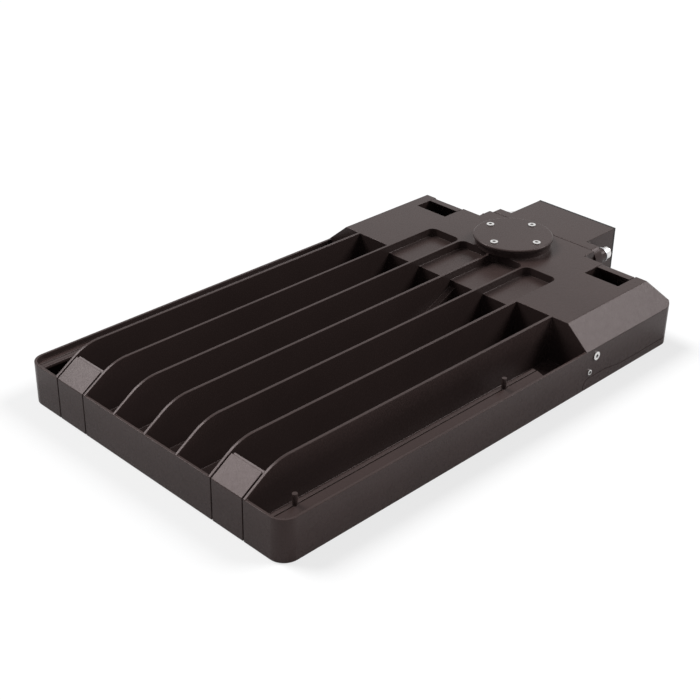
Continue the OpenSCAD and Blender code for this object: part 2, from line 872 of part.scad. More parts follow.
// Pan that closes the compartment from below
module driver_door() {
  ear_in = hinge_ear_x - hinge_ear_t;
  slot_in = bracket_x - bracket_slot_gap;
  slot_back = hinge_y + bracket_foot_r + bracket_slot_gap;
  color([0.30, 0.26, 0.25]) light_frame() difference() {
    union() {
      // floor with its rear and side lips
      linear_extrude(door_t) door_plan_2d(0);
      linear_extrude(lip_h) difference() {
        door_plan_2d(0);
        plan_2d(lip_t);
      }
      // raised lips at the sides
      both_sides() along_x(half_w - lip_t, half_w) intersection() {
        door_side_2d(0);
        area(0, body_len - rear_corner_r, 0, body_h);
      }
      // round hinge end
      along_x(-slot_in, slot_in) intersection() {
        translate([hinge_y, hinge_z]) circle(r = hinge_round_r);
        area(0, body_len, 0, body_h);
      }
      both_sides() latch_ears();
    }
    // hollow of the round end
    along_x(-ear_in, ear_in) {
      translate([hinge_y, hinge_z]) circle(r = hinge_round_r - curl_t);
      area(hinge_y, hinge_y + 2 * hinge_round_r, door_t, body_h);
    }
    both_sides() {
      // slot and bore at the hinge bracket
      block(slot_in, half_w - lip_t, 0, slot_back, -overrun, body_h);
      rod_x(ear_in - overrun, half_w - lip_t, hinge_y, hinge_z, hinge_pin_r + pin_gap);
      // notch in the rear lip and bores for the latch pin
      block(latch_x - latch_pocket_w / 2, latch_x + latch_pocket_w / 2, body_len - 2 * lip_t,
            body_len + overrun, door_t, body_h);
      rod_x(latch_x - latch_pin_len / 2 - overrun, latch_x + latch_pin_len / 2 + overrun,
            latch_pivot_y, latch_pivot_z, latch_pin_r + pin_gap);
    }
  }
}

// Soft ring between the door and the sealing frame
module door_gasket() {
  x1 = inner_w - seal_side_w + gasket_w;
  y0 = web_back_y - gasket_w - overrun;
  y1 = seal_rear_y + gasket_w;
  color([0.12, 0.12, 0.12]) light_frame() difference() {
    block(-x1, x1, y0, y1, door_t, seal_z - seat_gap);
    block(-x1 + gasket_w, x1 - gasket_w, y0 + gasket_w, y1 - gasket_w, door_t - overrun, seal_z + overrun);
  }
}

// Bar between two points with round ends, drawn in Y and Z
module link_2d(a, b, r) {
  span = b - a;
  translate(a) circle(r = r);
  translate(b) circle(r = r);
  translate(a) rotate(atan2(span[1], span[0])) translate([0, -r * link_share]) square([norm(span), 2 * r * link_share]);
}

// Plate inside the side wall that carries the hinge pin
module hinge_bracket() {
  axis = [hinge_y, hinge_z];
  low = [small_screw_y, small_screw_z];
  high = [large_screw_y, large_screw_z];
  difference() {
    along_x(bracket_x, inner_w) {
      link_2d(axis, low, bracket_foot_r);
      link_2d(low, high, bracket_foot_r);
      translate(high) circle(r = bracket_top_r);
    }
    rod_x(bracket_x - overrun, inner_w + overrun, hinge_y, hinge_z, hinge_pin_r + pin_gap);
    rod_x(bracket_x - overrun, inner_w + overrun, small_screw_y, small_screw_z, small_screw_r + pin_gap);
    rod_x(bracket_x - overrun, inner_w + overrun, large_screw_y, large_screw_z, large_screw_r + pin_gap);
  }
}

module hinge_bracket_left() {
  color([0.62, 0.62, 0.64]) light_frame() mirror([1, 0, 0]) hinge_bracket();
}

module hinge_bracket_right() {
  color([0.62, 0.62, 0.64]) light_frame() hinge_bracket();
}

module hinge_pins() {
  color([0.72, 0.72, 0.74]) light_frame() both_sides()
    rod_x(hinge_ear_x - hinge_ear_t, inner_w, hinge_y, hinge_z, hinge_pin_r);
}

module hinge_screws_large() {
  color([0.80, 0.80, 0.82]) light_frame() both_sides()
    translate([half_w, large_screw_y, large_screw_z]) rotate([0, 90, 0])
      screw(large_screw_r, wall + bracket_t, large_head_r, side_head_h, socket_r, socket_d);
}

module hinge_screws_small() {
  color([0.80, 0.80, 0.82]) light_frame() both_sides()
    translate([half_w, small_screw_y, small_screw_z]) rotate([0, 90, 0])
      screw(small_screw_r, wall + bracket_t, small_head_r, side_head_h, small_screw_r, socket_d);
}

// Side outline of a latch above its barrel, drawn in Y and Z
module latch_2d() {
  back = body_len;
  lean = (body_len - latch_bar_back) / (body_h - tray_h);
  knee_in = latch_bar_front + (body_h - tray_h) * lean;
  plate_y = back - latch_plate_t;
  low_z = latch_pivot_z + latch_clear;
  polygon([[back, low_z - latch_barrel_r], [back, tray_h], [latch_bar_back, body_h],
           [latch_bar_front, body_h], [min(knee_in, plate_y), tray_h],
           [plate_y, tray_h], [plate_y, tooth_z + tooth_t + tooth_rise],
           [tooth_y, tooth_z + tooth_t], [tooth_y, tooth_z], [plate_y, tooth_z], [plate_y, low_z],
           [back - latch_skin_t, low_z], [back - latch_skin_t, low_z - latch_barrel_r]]);
}

// Latch lever with its barrel, tooth and thumb bar
module latch() {
  x0 = latch_x - latch_w / 2;
  x1 = latch_x + latch_w / 2;
  difference() {
    union() {
      along_x(x0, x1) latch_2d();
      along_x(latch_x - latch_barrel_w / 2, latch_x + latch_barrel_w / 2) {
        translate([latch_pivot_y, latch_pivot_z]) circle(r = latch_barrel_r);
        area(latch_pivot_y - latch_barrel_r / 2, body_len - latch_skin_t / 2, latch_pivot_z,
             latch_pivot_z + latch_clear + latch_barrel_r);
      }
    }
    rod_x(x0, x1, latch_pivot_y, latch_pivot_z, latch_pin_r + pin_gap);
  }
}

module latch_left() {
  color([0.27, 0.23, 0.22]) light_frame() mirror([1, 0, 0]) latch();
}

module latch_right() {
  color([0.27, 0.23, 0.22]) light_frame() latch();
}

// Pin of one latch, held in the ears of the door
module latch_pin() {
  rod_x(latch_x - latch_pin_len / 2, latch_x + latch_pin_len / 2, latch_pivot_y, latch_pivot_z, latch_pin_r);
}

module latch_pin_left() {
  color([0.72, 0.72, 0.74]) light_frame() mirror([1, 0, 0]) latch_pin();
}

module latch_pin_right() {
  color([0.72, 0.72, 0.74]) light_frame() latch_pin();
}

module cover_gasket() {
  color([0.10, 0.10, 0.10]) light_frame() difference() {
    translate([0, pedestal_cy, pedestal_top]) cylinder(r = pedestal_r - pedestal_foot_w, h = cover_gasket_t);
    translate([0, pedestal_cy, pedestal_top - overrun]) cylinder(r = port_r, h = cover_gasket_t + 2 * overrun);
    at_cover_screws() translate([0, 0, pedestal_top - overrun])
      cylinder(r = cover_screw_r + pin_gap, h = cover_gasket_t + 2 * overrun);
  }
}

module cover_plate() {
  color([0.33, 0.28, 0.27]) light_frame() difference() {
    translate([0, pedestal_cy, cover_z]) rotate_extrude()
      polygon([[0, 0], [cover_r, 0], [cover_r, cover_t - cover_chamfer], [cover_r - cover_chamfer, cover_t],
               [0, cover_t]]);
    at_cover_screws() translate([0, 0, cover_z - overrun])
      cylinder(r = cover_screw_r + pin_gap, h = cover_t + 2 * overrun);
  }
}

module cover_screws() {
  color([0.80, 0.80, 0.82]) light_frame() at_cover_screws() translate([0, 0, cover_z + cover_t])
    screw(cover_screw_r, cover_t + cover_gasket_t + cover_thread_len - seat_gap, cover_head_r, cover_head_h,
          socket_r, socket_d);
}

// Outline of the arm's flange, drawn in X and Z and drawn in by inset
module flange_2d(inset) {
  area(-shoulder_x, shoulder_x, shoulder_z, body_h - inset);
  area(-half_arm + inset, half_arm - inset, arm_bottom + inset, body_h - inset);
  intersection() {
    for (side = [-1, 1]) translate([side * shoulder_x, shoulder_z]) circle(r = shoulder_r - inset);
    area(-body_w, body_w, 0, body_h - inset);
  }
}

module arm_gasket() {
  color([0.10, 0.10, 0.10]) light_frame() difference() {
    along_y(bulge_y, flange_y) intersection() {
      flange_2d(arm_gasket_in);
      area(-bulge_w / 2 + arm_gasket_in, bulge_w / 2 - arm_gasket_in, 0, body_h);
    }
    rod_y(bulge_y - overrun, flange_y + overrun, 0, pole_z, arm_hole_r);
    both_sides() rod_y(bulge_y - overrun, flange_y + overrun, bolt_x, bolt_z, bolt_r + bolt_clear);
  }
}

// Places of the arm cover screws, at the front corners of the arm's box
module at_arm_cover_screws() {
  for (side = [-1, 1])
    translate([side * (arm_in_x - arm_boss_r), box_y + arm_boss_r + bolt_clear, arm_bottom]) children();
}

// Arm with a round-shouldered flange and a hollow box
module mounting_arm() {
  cover_top = arm_bottom + arm_cover_t;
  color([0.30, 0.26, 0.25]) light_frame() difference() {
    union() {
      along_y(flange_y, box_y) flange_2d(0);
      difference() {
        block(-half_arm, half_arm, box_y - flange_t / 2, pole_plate_y, arm_bottom, body_h);
        block(-arm_in_x, arm_in_x, box_y, pole_plate_y - pole_wall, arm_bottom - overrun, body_h - arm_wall);
      }
      both_sides() rod_y(box_y - flange_t / 2, washer_y, bolt_x, bolt_z, bolt_boss_r);
      at_arm_cover_screws() translate([0, 0, arm_cover_t]) {
        cylinder(r = arm_boss_r, h = arm_boss_len);
        translate([-arm_boss_r, -arm_boss_r - bolt_clear - overrun, 0])
          cube([2 * arm_boss_r, arm_boss_r + bolt_clear + overrun, arm_boss_len]);
      }
    }
    rod_y(flange_y - overrun, box_y + overrun, 0, pole_z, arm_hole_r);
    both_sides() rod_y(flange_y - overrun, washer_y + overrun, bolt_x, bolt_z, bolt_r + bolt_clear);
    both_sides() rod_y(pole_plate_y - pole_wall - overrun, pole_plate_y + overrun, pole_hole_pitch / 2,
                       pole_z, pole_hole_r);
    rod_y(pole_plate_y - pole_wall - overrun, pole_plate_y + overrun, 0, pole_z, wire_entry_r);
    at_arm_cover_screws() translate([0, 0, arm_cover_t - overrun])
      cylinder(r = arm_cover_screw_r + pin_gap, h = arm_boss_len);
  }
}

module arm_bolts() {
  color([0.80, 0.80, 0.82]) light_frame() both_sides()
    translate([bolt_x, washer_y + washer_t, bolt_z]) rotate([-90, 0, 0])
      screw(bolt_r, washer_t + bolt_boss_len + flange_t + arm_gasket_t + bolt_grip, bolt_head_r, bolt_head_h,
            bolt_socket_r, bolt_socket_d);
}

module arm_washers() {
  color([0.80, 0.80, 0.82]) light_frame() both_sides() difference() {
    rod_y(washer_y, washer_y + washer_t, bolt_x, bolt_z, washer_r);
    rod_y(washer_y - overrun, washer_y + washer_t + overrun, bolt_x, bolt_z, bolt_r + pin_gap);
  }
}

// Plate that closes the arm's box from below
module arm_cover() {
  color([0.30, 0.26, 0.25]) light_frame() difference() {
    block(-arm_in_x + arm_cover_gap, arm_in_x - arm_cover_gap, box_y + arm_cover_gap,
          pole_plate_y - pole_wall - arm_cover_gap, arm_bottom, arm_bottom + arm_cover_t);
    at_arm_cover_screws() translate([0, 0, -overrun])
      cylinder(r = arm_cover_screw_r + pin_gap, h = arm_cover_t + 2 * overrun);
  }
}

module arm_cover_screws() {
  color([0.72, 0.72, 0.74]) light_frame() at_arm_cover_screws() mirror([0, 0, 1])
    screw(arm_cover_screw_r, arm_cover_t + arm_boss_len / 2, arm_cover_head_r, arm_cover_head_h, socket_r,
          socket_d);
}

module pole_gasket() {
  color([0.07, 0.07, 0.07]) light_frame() difference() {
    block(-half_arm, half_arm, pole_plate_y, pole_y, arm_bottom, body_h);
    both_sides() rod_y(pole_plate_y - overrun, pole_y + overrun, pole_hole_pitch / 2, pole_z, pole_hole_r);
    rod_y(pole_plate_y - overrun, pole_y + overrun, 0, pole_z, wire_entry_r);
  }
}

// Rubber sleeve where the leads pass from the compartment into the arm
module wire_grommet() {
  y0 = bulge_y - wall - grommet_collar_t;
  color([0.08, 0.08, 0.08]) light_frame() difference() {
    union() {
      rod_y(y0, bulge_y - wall, 0, pole_z, grommet_collar_r);
      rod_y(y0, box_y, 0, pole_z, arm_hole_r - pin_gap);
    }
    rod_y(y0 - overrun, box_y + overrun, 0, pole_z, grommet_bore_r);
  }
}

// Places of the lenses of one array, from its centre
module at_lenses() {
  for (i = [0:lens_cols - 1], j = [0:lens_rows - 1])
    translate([(i - (lens_cols - 1) / 2) * lens_pitch, (j - (lens_rows - 1) / 2) * lens_pitch, 0]) children();
}

// LED board of one array with its chips
module led_board(index) {
  centre = array_centres[index];
  w = array_w / 2 - board_in;
  l = array_len / 2 - board_in;
  color([0.90, 0.90, 0.86]) light_frame() difference() {
    union() {
      translate([centre[0], centre[1], 0]) {
        block(-w, w, -l, l, board_z, floor_z);
        at_lenses() block(-chip_w / 2, chip_w / 2, -chip_w / 2, chip_w / 2, board_z - chip_t, floor_z - board_t / 2);
      }
      if (index == 3)
        block(duct_mid_x - duct_w / 4, centre[0] - w + overrun, duct_hole_y - tab_w / 2, duct_hole_y + tab_w / 2,
              board_z, floor_z);
    }
    at_lens_screws() translate([0, 0, board_z - overrun])
      cylinder(r = lens_screw_r + pin_gap, h = board_t + 2 * overrun);
  }
}

module led_board_1() { led_board(0); }
module led_board_2() { led_board(1); }
module led_board_3() { led_board(2); }
module led_board_4() { led_board(3); }

// Soft rings round the LED boards
module lens_gaskets() {
  w = array_w / 2 - ring_in;
  l = array_len / 2 - ring_in;
  color([0.85, 0.85, 0.85]) light_frame() for (index = [0:3]) difference() {
    translate([array_centres[index][0], array_centres[index][1], 0]) difference() {
      block(-w, w, -l, l, board_z, floor_z);
      block(-w + ring_w, w - ring_w, -l + ring_w, l - ring_w, board_z - overrun, floor_z + overrun);
    }
    block(duct_x0, duct_mid_x + tab_len, duct_hole_y - tab_w, duct_hole_y + tab_w, board_z - overrun,
          floor_z + overrun);
  }
}

// Clear plate with a lens over each chip
module lens_array(index) {
  w = array_w / 2;
  l = array_len / 2;
  centre = array_centres[index];
  color([0.85, 0.90, 0.95]) light_frame() difference() {
    translate([centre[0], centre[1], 0]) difference() {
      union() {
        block(-w, w, -l, l, lens_plate_z, board_z);
        at_lenses() translate([0, 0, lens_plate_z - lens_h])
          cylinder(r1 = lens_r * lens_top_share, r2 = lens_r, h = lens_h + lens_plate_t / 2);
      }
      at_lenses() translate([0, 0, board_z - chip_pocket_d])
        cylinder(r = chip_pocket_r, h = chip_pocket_d + overrun);
    }
    at_lens_screws() translate([0, 0, lens_plate_z - overrun])
      cylinder(r = lens_screw_r + pin_gap, h = lens_plate_t + 2 * overrun);
  }
}

module lens_array_1() { lens_array(0); }
module lens_array_2() { lens_array(1); }
module lens_array_3() { lens_array(2); }
module lens_array_4() { lens_array(3); }

module lens_screws() {
  color([0.72, 0.72, 0.74]) light_frame() at_lens_screws() translate([0, 0, lens_plate_z]) mirror([0, 0, 1])
    screw(lens_screw_r, lens_plate_t + board_t + lens_thread_len - seat_gap, lens_head_r, lens_head_h,
          lens_screw_r, socket_d);
}

// Places of the driver screws, on the underside of the recesses
module at_driver_screws() {
  for (side = [-1, 1])
    translate([side * (driver_w / 2 + driver_tab / 2), driver_y0 + driver_d / 2, driver_top]) children();
}

// Places of the screws of the surge protector and the terminal block, under the flat top
module at_top_screws() {
  translate([surge_x0 + surge_size / 2, surge_y0 + surge_size + component_tab / 2, inner_top]) children();
  translate([terminal_x1 - terminal_len / 2, terminal_y0 + terminal_w + component_tab / 2, inner_top]) children();
}

module led_driver() {
  hole_r = component_screw_r + pin_gap;
  color([0.75, 0.75, 0.77]) light_frame() difference() {
    union() {
      block(-driver_w / 2, driver_w / 2, driver_y0, driver_y0 + driver_d, driver_top - driver_h, driver_top);
      block(-driver_w / 2 - driver_tab, driver_w / 2 + driver_tab, driver_y0 + driver_d / 4,
            driver_y0 + 3 * driver_d / 4, driver_top - tab_t, driver_top);
    }
    at_driver_screws() translate([0, 0, -tab_t - overrun]) cylinder(r = hole_r, h = tab_t + 2 * overrun);
  }
}

module surge_protector() {
  x1 = surge_x0 + surge_size;
  y1 = surge_y0 + surge_size;
  color([0.20, 0.35, 0.60]) light_frame() difference() {
    union() {
      block(surge_x0, x1, surge_y0, y1, inner_top - surge_h, inner_top);
      block(surge_x0 + surge_size / 4, x1 - surge_size / 4, y1 - overrun, y1 + component_tab,
            inner_top - tab_t, inner_top);
    }
    at_top_screws() translate([0, 0, -tab_t - overrun])
      cylinder(r = component_screw_r + pin_gap, h = tab_t + 2 * overrun);
  }
}

module terminal_block() {
  x0 = terminal_x1 - terminal_len;
  y1 = terminal_y0 + terminal_w;
  color([0.92, 0.92, 0.90]) light_frame() difference() {
    union() {
      block(x0, terminal_x1, terminal_y0, y1, inner_top - terminal_h, inner_top);
      block(x0 + terminal_len / 4, terminal_x1 - terminal_len / 4, y1 - overrun, y1 + component_tab,
            inner_top - tab_t, inner_top);
    }
    at_top_screws() translate([0, 0, -tab_t - overrun])
      cylinder(r = component_screw_r + pin_gap, h = tab_t + 2 * overrun);
  }
}

module component_screws() {
  shank = tab_t + component_thread_len - pin_gap;
  color([0.72, 0.72, 0.74]) light_frame() {
    at_driver_screws() translate([0, 0, -tab_t]) mirror([0, 0, 1])
      screw(component_screw_r, shank, component_head_r, component_head_h, socket_r, socket_d);
    at_top_screws() translate([0, 0, -tab_t]) mirror([0, 0, 1])
      screw(component_screw_r, shank, component_head_r, component_head_h, socket_r, socket_d);
  }
}

// Ground screw in its boss under the top
module ground_screw() {
  color([0.20, 0.55, 0.25]) light_frame() translate([ground_x, ground_y, inner_top - ground_boss_len])
    mirror([0, 0, 1])
      screw(component_screw_r, ground_boss_len - seat_gap, ground_head_r, ground_head_h, socket_r, socket_d);
}

// Unit vector
function unit(v) = v / norm(v);

// Direction of a route at point i, halfway between the stretches that meet there
function heading(points, i) =
  i == 0 ? unit(points[1] - points[0])
  : i == len(points) - 1 ? unit(points[i] - points[i - 1])
  : unit(unit(points[i] - points[i - 1]) + unit(points[i + 1] - points[i]));

// Ring of a lead square to its heading
function lead_ring(points, i) =
  let (along = heading(points, i))
  let (across = unit(cross(along, lead_reference)))
  let (over = cross(along, across))
  [for (k = [0:lead_sides - 1]) let (a = 360 * k / lead_sides)
    points[i] + lead_r * (cos(a) * across + sin(a) * over)];

// Lead along a list of points
module lead(points) {
  n = lead_sides;
  last = len(points) - 1;
  rings = [for (i = [0:last]) each lead_ring(points, i)];
  sides = [for (i = [0:last - 1], k = [0:n - 1]) let (a = i * n + k, b = i * n + (k + 1) % n)
    each [[a, a + n, b], [b, a + n, b + n]]];
  caps = [for (k = [1:n - 2]) each [[0, k, k + 1], [last * n, last * n + k + 1, last * n + k]]];
  polyhedron(rings, concat(sides, caps));
}

// Lead from the LED board through the duct to the driver
module led_leads() {
  z_in = floor_top + 2 * lead_r;
  color([0.75, 0.10, 0.10]) light_frame()
    lead([[duct_mid_x, duct_hole_y, floor_z],
          [duct_mid_x, duct_hole_y, z_in],
          [duct_mid_x, comp_y + 2 * wall, z_in + 2 * lead_r],
          [duct_mid_x, driver_y0 - 3 * lead_r, driver_top - driver_h / 2],
          [duct_mid_x, driver_y0, driver_top - driver_h / 2]]);
}

// Leads from the driver to the terminal block
module driver_leads() {
  color([0.15, 0.15, 0.15]) light_frame() for (i = [-1:1]) {
    y = terminal_y0 + terminal_w / 2 + 3 * i * lead_r;
    low_z = driver_top - driver_h / 2;
    high_z = inner_top - terminal_h / 2;
    lead([[-driver_w / 2, y, low_z],
          [-driver_w / 2 - 3 * lead_r, y, low_z],
          [terminal_x1 + 3 * lead_r, y, high_z],
          [terminal_x1, y, high_z]]);
  }
}

// Leads from the driver to the surge protector
module surge_leads() {
  color([0.85, 0.85, 0.85]) light_frame() for (i = [-1, 1]) {
    y = surge_y0 + surge_size / 4 + 2 * i * lead_r;
    low_z = driver_top - driver_h / 2;
    high_z = inner_top - surge_h + 3 * lead_r;
    lead([[driver_w / 2, y, low_z],
          [driver_w / 2 + 3 * lead_r, y, low_z],
          [surge_x0 - 3 * lead_r, y, high_z],
          [surge_x0, y, high_z]]);
  }
}

// Supply leads from the terminal block through the grommet into the arm
module supply_leads() {
  color([0.15, 0.15, 0.15]) light_frame() for (i = [-1:1]) {
    x = terminal_x1 - terminal_len / 2 + 4 * i * lead_r;
    low_z = inner_top - terminal_h - (6 - 3 * i) * lead_r;
    end_z = pole_z + 3 * i * lead_r;
    driver_back = driver_y0 + driver_d;
    lead([[x, terminal_y0 + terminal_w / 2, inner_top - terminal_h],
          [x, terminal_y0 + terminal_w / 2, low_z],
          [x, driver_back - lead_r, low_z],
          [-driver_w / 2 - 4 * lead_r, driver_back + 5 * lead_r, low_z],
          [0, bulge_y - 4 * grommet_collar_t, end_z],
          [0, box_y + box_len / 3, end_z]]);
  }
}

housing();
front_insert_left();
front_insert_right();
insert_screws();
driver_door();
door_gasket();
hinge_bracket_left();
hinge_bracket_right();
hinge_pins();
hinge_screws_large();
hinge_screws_small();
latch_left();
latch_right();
latch_pin_left();
latch_pin_right();
cover_gasket();
cover_plate();
cover_screws();
arm_gasket();
mounting_arm();
arm_bolts();
arm_washers();
arm_cover();
arm_cover_screws();
pole_gasket();
wire_grommet();
led_board_1();
led_board_2();
led_board_3();
led_board_4();
lens_gaskets();
lens_array_1();
lens_array_2();
lens_array_3();
lens_array_4();
lens_screws();
led_driver();
surge_protector();
terminal_block();
component_screws();
ground_screw();
led_leads();
driver_leads();
surge_leads();
supply_leads();
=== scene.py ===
"""Finish and studio for a shoebox area light, laid out as an add-on."""

import itertools
import json
import math

import bmesh
import bpy
from mathutils import Matrix, Vector

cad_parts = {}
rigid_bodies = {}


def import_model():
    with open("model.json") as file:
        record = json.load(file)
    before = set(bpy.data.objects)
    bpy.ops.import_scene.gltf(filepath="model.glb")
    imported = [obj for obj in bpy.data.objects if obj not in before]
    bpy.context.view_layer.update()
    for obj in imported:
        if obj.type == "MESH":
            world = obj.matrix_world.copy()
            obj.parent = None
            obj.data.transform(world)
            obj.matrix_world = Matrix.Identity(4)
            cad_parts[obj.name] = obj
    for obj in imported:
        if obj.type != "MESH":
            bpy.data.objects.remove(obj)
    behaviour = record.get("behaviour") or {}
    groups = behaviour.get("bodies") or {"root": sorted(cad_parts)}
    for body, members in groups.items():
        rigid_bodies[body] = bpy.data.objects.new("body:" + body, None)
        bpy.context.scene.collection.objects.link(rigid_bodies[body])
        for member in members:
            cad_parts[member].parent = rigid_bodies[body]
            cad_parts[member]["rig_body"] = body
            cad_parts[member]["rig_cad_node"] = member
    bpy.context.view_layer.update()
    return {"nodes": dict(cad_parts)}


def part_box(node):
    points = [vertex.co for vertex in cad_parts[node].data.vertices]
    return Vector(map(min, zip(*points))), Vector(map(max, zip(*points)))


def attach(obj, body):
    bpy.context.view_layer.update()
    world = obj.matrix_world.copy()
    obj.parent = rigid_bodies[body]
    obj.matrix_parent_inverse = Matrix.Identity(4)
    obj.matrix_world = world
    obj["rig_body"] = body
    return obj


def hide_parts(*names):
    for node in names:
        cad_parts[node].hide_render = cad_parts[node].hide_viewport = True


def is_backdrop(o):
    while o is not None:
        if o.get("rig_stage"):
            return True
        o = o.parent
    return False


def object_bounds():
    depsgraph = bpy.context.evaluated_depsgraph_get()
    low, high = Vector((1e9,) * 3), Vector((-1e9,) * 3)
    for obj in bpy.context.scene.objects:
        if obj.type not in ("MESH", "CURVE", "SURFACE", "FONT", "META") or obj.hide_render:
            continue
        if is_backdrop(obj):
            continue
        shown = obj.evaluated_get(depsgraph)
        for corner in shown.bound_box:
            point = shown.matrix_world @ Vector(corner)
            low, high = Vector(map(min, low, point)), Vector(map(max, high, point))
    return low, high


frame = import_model()

bl_info = {
    "name": "Shoebox area light",
    "version": (1, 0, 0),
    "blender": (4, 5, 0),
    "location": "3D View > Sidebar > Area light",
    "description": "Dresses the pieces of a finned area light and sets up its studio",
    "category": "Object",
}

LIGHT_BODY = "light"
DOOR_BODY = "door"
LEFT_LATCH_BODY = "latch_left_lever"
RIGHT_LATCH_BODY = "latch_right_lever"

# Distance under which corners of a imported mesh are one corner
MERGE_DISTANCE = 2e-6
# Angle under which neighbouring triangles are one flat face
FLAT_ANGLE = math.radians(0.2)
# Angle over which an edge is rounded
EDGE_ANGLE = math.radians(28)
# Angle under which neighbouring faces are shaded as one surface
SMOOTH_ANGLE = math.radians(30)
# Distance from a screw's axis within which the faces of its socket get painted shade
SOCKET_REACH = 0.0023
# Distance from an arm bolt's axis within which the faces of its socket get painted shade
BOLT_SOCKET_REACH = 0.0039
# Share of the room beside an edge that its rounding may take
ROOM_SHARE = 0.42
# Steps in which the rounding of an edge is narrowed
WIDTH_STEPS = 20
# Ground that a face may cover twice before its flat is filled anew
OVERLAP_AREA = 1e-6
# Most flats of a plate that are filled anew
PLATE_MENDS = 8
# Segments of a lens dome's rounding
LENS_SEGMENTS = 4
# Depth of the chips below the top of a board
CHIP_DEPTH = 0.0017
# Number of boards, each with its lens plate
BOARD_COUNT = 4
# Height of the coat's fine bumps as a share of their size
PEEL_SHARE = 0.12
# Axes that the screws stand along
X_AXIS, Y_AXIS, Z_AXIS = range(3)
# Weight of a face's area in the shading of its edges
AREA_WEIGHT = 100

# Width of the camera's sensor in millimetres
SENSOR_WIDTH = 36
# Directions of the two lamps as seen from the light
KEY_FROM = (-0.611, -0.2, 0.766)
REAR_FROM = (0.403, 0.618, 0.676)
# Distance at which the lamps stand
LAMP_DISTANCE = 2
# Colour of the even light from all round
SURROUND_COLOUR = (0.95, 0.97, 1.0, 1)
# Side of the floor, and its gap under the light
FLOOR_SIZE = 12
FLOOR_GAP = 0.0002
# Colour of the floor where it is lit
FLOOR_COLOUR = (0.76, 0.76, 0.76, 1)

# Painted shade for the faces down in the screws' sockets, and colours of the inner parts
SOCKET_SHADE = (0.10, 0.095, 0.09)
WHITE_SILICONE = (0.62, 0.62, 0.60)
BLUE_PLASTIC = (0.02, 0.06, 0.20)
WHITE_PLASTIC = (0.72, 0.72, 0.68)
GREEN_PLATING = (0.06, 0.30, 0.08)
RED_INSULATION = (0.40, 0.02, 0.02)
BLACK_INSULATION = (0.02, 0.02, 0.02)
WHITE_INSULATION = (0.70, 0.70, 0.68)


def deselect_all():
    """Leaves nothing selected, in object mode."""
    if bpy.context.object and bpy.context.object.mode != "OBJECT":
        bpy.ops.object.mode_set(mode="OBJECT")
    bpy.ops.object.select_all(action="DESELECT")


def select_only(piece):
    """Selects one object and makes it the active one."""
    deselect_all()
    piece.select_set(True)
    bpy.context.view_layer.objects.active = piece


def copy_of(node, name):
    """Own mesh copied from a CAD node, with its triangles merged into closed, flat faces."""
    source = frame["nodes"][node]
    select_only(source)
    bpy.ops.object.duplicate()
    piece = bpy.context.view_layer.objects.active
    piece.name = name
    piece.parent = None
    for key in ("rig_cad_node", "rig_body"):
        del piece[key]
    piece.data.materials.clear()
    select_only(piece)
    bpy.ops.object.mode_set(mode="EDIT")
    bpy.ops.mesh.select_all(action="SELECT")
    bpy.ops.mesh.remove_doubles(threshold=MERGE_DISTANCE)
    bpy.ops.mesh.dissolve_limited(angle_limit=FLAT_ANGLE)
    bpy.ops.object.mode_set(mode="OBJECT")
    return piece


def select_in(piece, elements, mode):
    """Goes to edit mode with only the given edges or faces of a piece selected."""
    bpy.ops.object.mode_set(mode="EDIT")
    bpy.ops.mesh.select_mode(type=mode)
    bpy.ops.mesh.select_all(action="DESELECT")
    bpy.ops.object.mode_set(mode="OBJECT")
    every = piece.data.edges if mode == "EDGE" else piece.data.polygons
    for index in elements:
        every[index].select = True
    bpy.ops.object.mode_set(mode="EDIT")


def gap_between(a, b, c, d):
    """Least distance between two straight edges that don't cross."""
    least = math.inf
    for point, start, end in ((a, c, d), (b, c, d), (c, a, b), (d, a, b)):
        run = end - start
        along = min(1.0, max(0.0, (point - start).dot(run) / run.length_squared))
        least = min(least, (point - start - run * along).length)
    return least


def rounding_shares(piece, width):
    """Edges to round, grouped by the share of the width that they have room for."""
    mesh = bmesh.new()
    mesh.from_mesh(piece.data)
    sharp = {}
    for edge in mesh.edges:
        if len(edge.link_faces) == 2 and edge.calc_face_angle(0) > EDGE_ANGLE:
            middle = sum((corner.co for corner in edge.verts), Vector()) / 2
            sharp[edge] = (middle, edge.calc_length() / 2)
    rooms = dict.fromkeys(sharp, width / ROOM_SHARE)
    for face in mesh.faces:
        rim = [(edge, *sharp[edge]) for edge in face.edges if edge in sharp]
        for (edge, middle, half), (other, far_middle, far_half) in itertools.combinations(rim, 2):
            least = (middle - far_middle).length - half - far_half
            touching = set(other.verts) & set(edge.verts)
            if least < max(rooms[edge], rooms[other]) and not touching:
                gap = gap_between(*(corner.co for corner in (*edge.verts, *other.verts)))
                rooms[edge] = min(rooms[edge], gap)
                rooms[other] = min(rooms[other], gap)
    shares = {}
    for edge, room in rooms.items():
        step = max(1, round(WIDTH_STEPS * ROOM_SHARE * room / width))
        shares.setdefault(step / WIDTH_STEPS, []).append(edge.index)
    mesh.free()
    return shares


def overlapping_face(data):
    """Index of the face of over four corners whose triangles overlap most, or None."""
    data.calc_loop_triangles()
    excess = {face.index: -face.area for face in data.polygons if len(face.vertices) > 4}
    for triangle in data.loop_triangles:
        if triangle.polygon_index in excess:
            excess[triangle.polygon_index] += triangle.area
    worst = max(excess, key=excess.get, default=None)
    return worst if worst is not None and excess[worst] > OVERLAP_AREA else None


